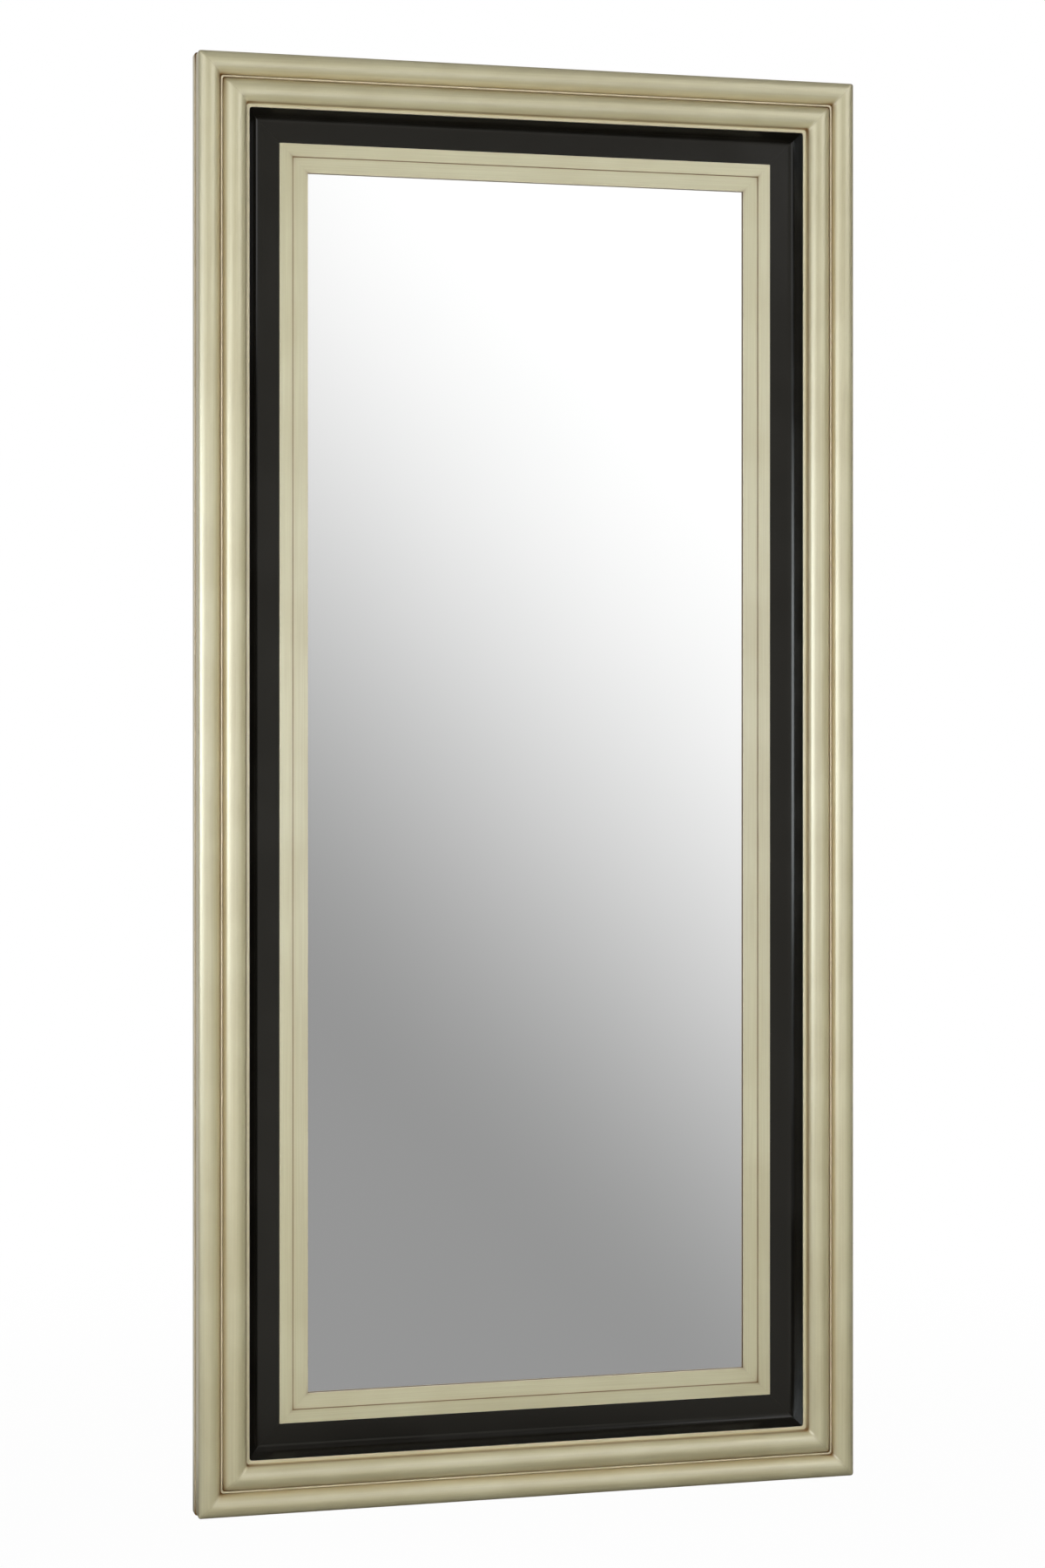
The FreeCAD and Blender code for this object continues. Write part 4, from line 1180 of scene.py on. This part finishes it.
def make_floor():
    """A floor that shows white to the camera, keeps a soft shadow and lies dark under the mirror."""
    material = bpy.data.materials.new("pale_floor")
    material.use_nodes = True
    tree = material.node_tree
    tree.nodes.clear()
    path = add_node(tree, "ShaderNodeLightPath").outputs
    paint = add_node(tree, "ShaderNodeBsdfDiffuse", {"Color": FLOOR_PAINT}).outputs[0]
    dark = add_node(tree, "ShaderNodeBsdfDiffuse", {"Color": FLOOR_DARK}).outputs[0]
    white = add_node(tree, "ShaderNodeEmission", {"Color": PURE_WHITE, "Strength": 1.0}).outputs[0]
    clear = add_node(tree, "ShaderNodeBsdfTransparent").outputs[0]
    measure = add_node(tree, "ShaderNodeVectorMath", {0: object_place(tree)}, operation="LENGTH")
    away = measure.outputs["Value"]
    shown = blend_shaders(tree, ease(tree, away, *WHITE_BY_DISTANCE), paint, white)
    far = calculate(tree, "MAXIMUM", path["Is Singular Ray"], ease(tree, away, *CLEAR_BY_DISTANCE))
    under = blend_shaders(tree, far, dark, clear)
    surface = blend_shaders(tree, path["Is Camera Ray"], under, shown)
    add_node(tree, "ShaderNodeOutputMaterial", {"Surface": surface})
    mesh = bpy.data.meshes.new("floor")
    corners = [(x * FLOOR_REACH, y * FLOOR_REACH, 0.0) for x, y in ((-1, -1), (1, -1), (1, 1), (-1, 1))]
    mesh.from_pydata(corners, [], [(0, 1, 2, 3)])
    mesh.materials.append(material)
    floor = add_object("floor", mesh)
    floor.location = (0.0, 0.0, FLOOR_LEVEL)


def make_world():
    """White for the camera, a dim room for the frame and a room that pales upwards for the mirror."""
    world = bpy.data.worlds.new("studio")
    bpy.context.scene.world = world
    world.use_nodes = True
    tree = world.node_tree
    tree.nodes.clear()
    path = add_node(tree, "ShaderNodeLightPath").outputs
    direction = add_node(tree, "ShaderNodeSeparateXYZ",
                         {0: add_node(tree, "ShaderNodeTexCoord").outputs["Generated"]}).outputs
    across = calculate(tree, "ABSOLUTE", direction["X"])
    sideways = part_of(tree, across, ease(tree, across, *LEAN_BY_SIDE))
    height = calculate(tree, "ADD", direction["Z"], sideways)
    lifted = calculate(tree, "ADD", ease(tree, height, *PALE_BY_HEIGHT),
                       ease(tree, direction["Z"], *LIFT_BY_DEPTH))
    steep = calculate(tree, "ABSOLUTE", direction["Z"])
    reflected = part_of(tree, lifted, ease(tree, steep, *FADE_BY_STEEPNESS))
    room = calculate(tree, "MAXIMUM", ease(tree, direction["Z"], *CEILING_GLOW),
                     ease(tree, direction["Y"], *WALL_GLOW))
    level = blend_values(tree, path["Is Singular Ray"], room, reflected)
    seen = blend_values(tree, path["Is Camera Ray"], level, 1.0)
    plain = calculate(tree, "MAXIMUM", path["Is Camera Ray"], path["Is Singular Ray"])
    colour = blend_colours(tree, plain, ROOM_LIGHT, PURE_WHITE)
    background = add_node(tree, "ShaderNodeBackground", {"Color": colour, "Strength": seen}).outputs[0]
    add_node(tree, "ShaderNodeOutputWorld", {"Surface": background})


def add_softbox(name, bearing, distance, height, size, power, tint=WHITE_LIGHT, lights=True, shines=True):
    """A soft lamp that faces the mirror. Its bearing runs from the front to the right.

    It lights the faces, shines on the finishes, or both. The mirror never shows it.
    """
    lamp = bpy.data.lights.new(name, "AREA")
    lamp.shape = "RECTANGLE"
    lamp.size, lamp.size_y = size
    lamp.energy = power
    lamp.color = tint
    item = add_object(name, lamp)
    turn = math.radians(bearing)
    place = Vector((distance * math.sin(turn), -distance * math.cos(turn), height))
    item.location = place
    item.rotation_euler = (LAMP_TARGET - place).to_track_quat("-Z", "Y").to_euler()
    item.visible_camera = False
    item.visible_diffuse = lights
    item.visible_glossy = shines
    item.light_linking.receiver_collection = KEPT_DARK


def make_camera():
    """The photograph's view: level, from the left of the mirror and a little above its middle."""
    lens = bpy.data.cameras.new("viewer")
    lens.sensor_width = 36.0
    lens.lens = 69.5
    lens.shift_x = -0.0005
    lens.shift_y = -0.0585
    viewer = add_object("viewer", lens)
    viewer.location = (-1.000, -3.938, 0.119)
    viewer.rotation_euler = (math.radians(90.0), 0.0, math.radians(-14.2))
    bpy.context.scene.camera = viewer


make_floor()
make_world()
# Bearing in degrees, distance and height in metres
add_softbox("wide_key", -14.0, 2.05, 0.05, size=(3.2, 0.5), power=34.5, shines=False)
add_softbox("left_key", -32.0, 4.5, 0.2, size=(1.5, 1.0), power=31.0, shines=False)
add_softbox("right_key", 22.0, 2.4, 0.05, size=(1.2, 0.8), power=13.0, shines=False)
add_softbox("front_wall", 0.0, 7.0, -0.2, size=(6.5, 5.6), power=80.0, tint=WALL_LIGHT, lights=False)
add_softbox("left_wall", -41.5, 6.0, 0.0, size=(3.6, 2.6), power=24.0, lights=False)
add_softbox("left_high", -41.5, 5.3, 3.0, size=(3.6, 3.6), power=62.0, lights=False)
add_softbox("right_high", 41.5, 5.3, 3.0, size=(3.6, 3.6), power=93.0, lights=False)
add_softbox("far_window", -70.0, 6.0, 0.1, size=(1.2, 1.4), power=92.0, tint=WINDOW_LIGHT, lights=False)
add_softbox("near_window", -51.0, 6.0, 0.1, size=(1.2, 1.4), power=42.0, tint=WINDOW_LIGHT, lights=False)
add_softbox("back_fill", 162.0, 2.9, 0.9, size=(2.0, 2.0), power=62.0, shines=False)
make_camera()
bpy.context.scene.view_settings.view_transform = "Standard"
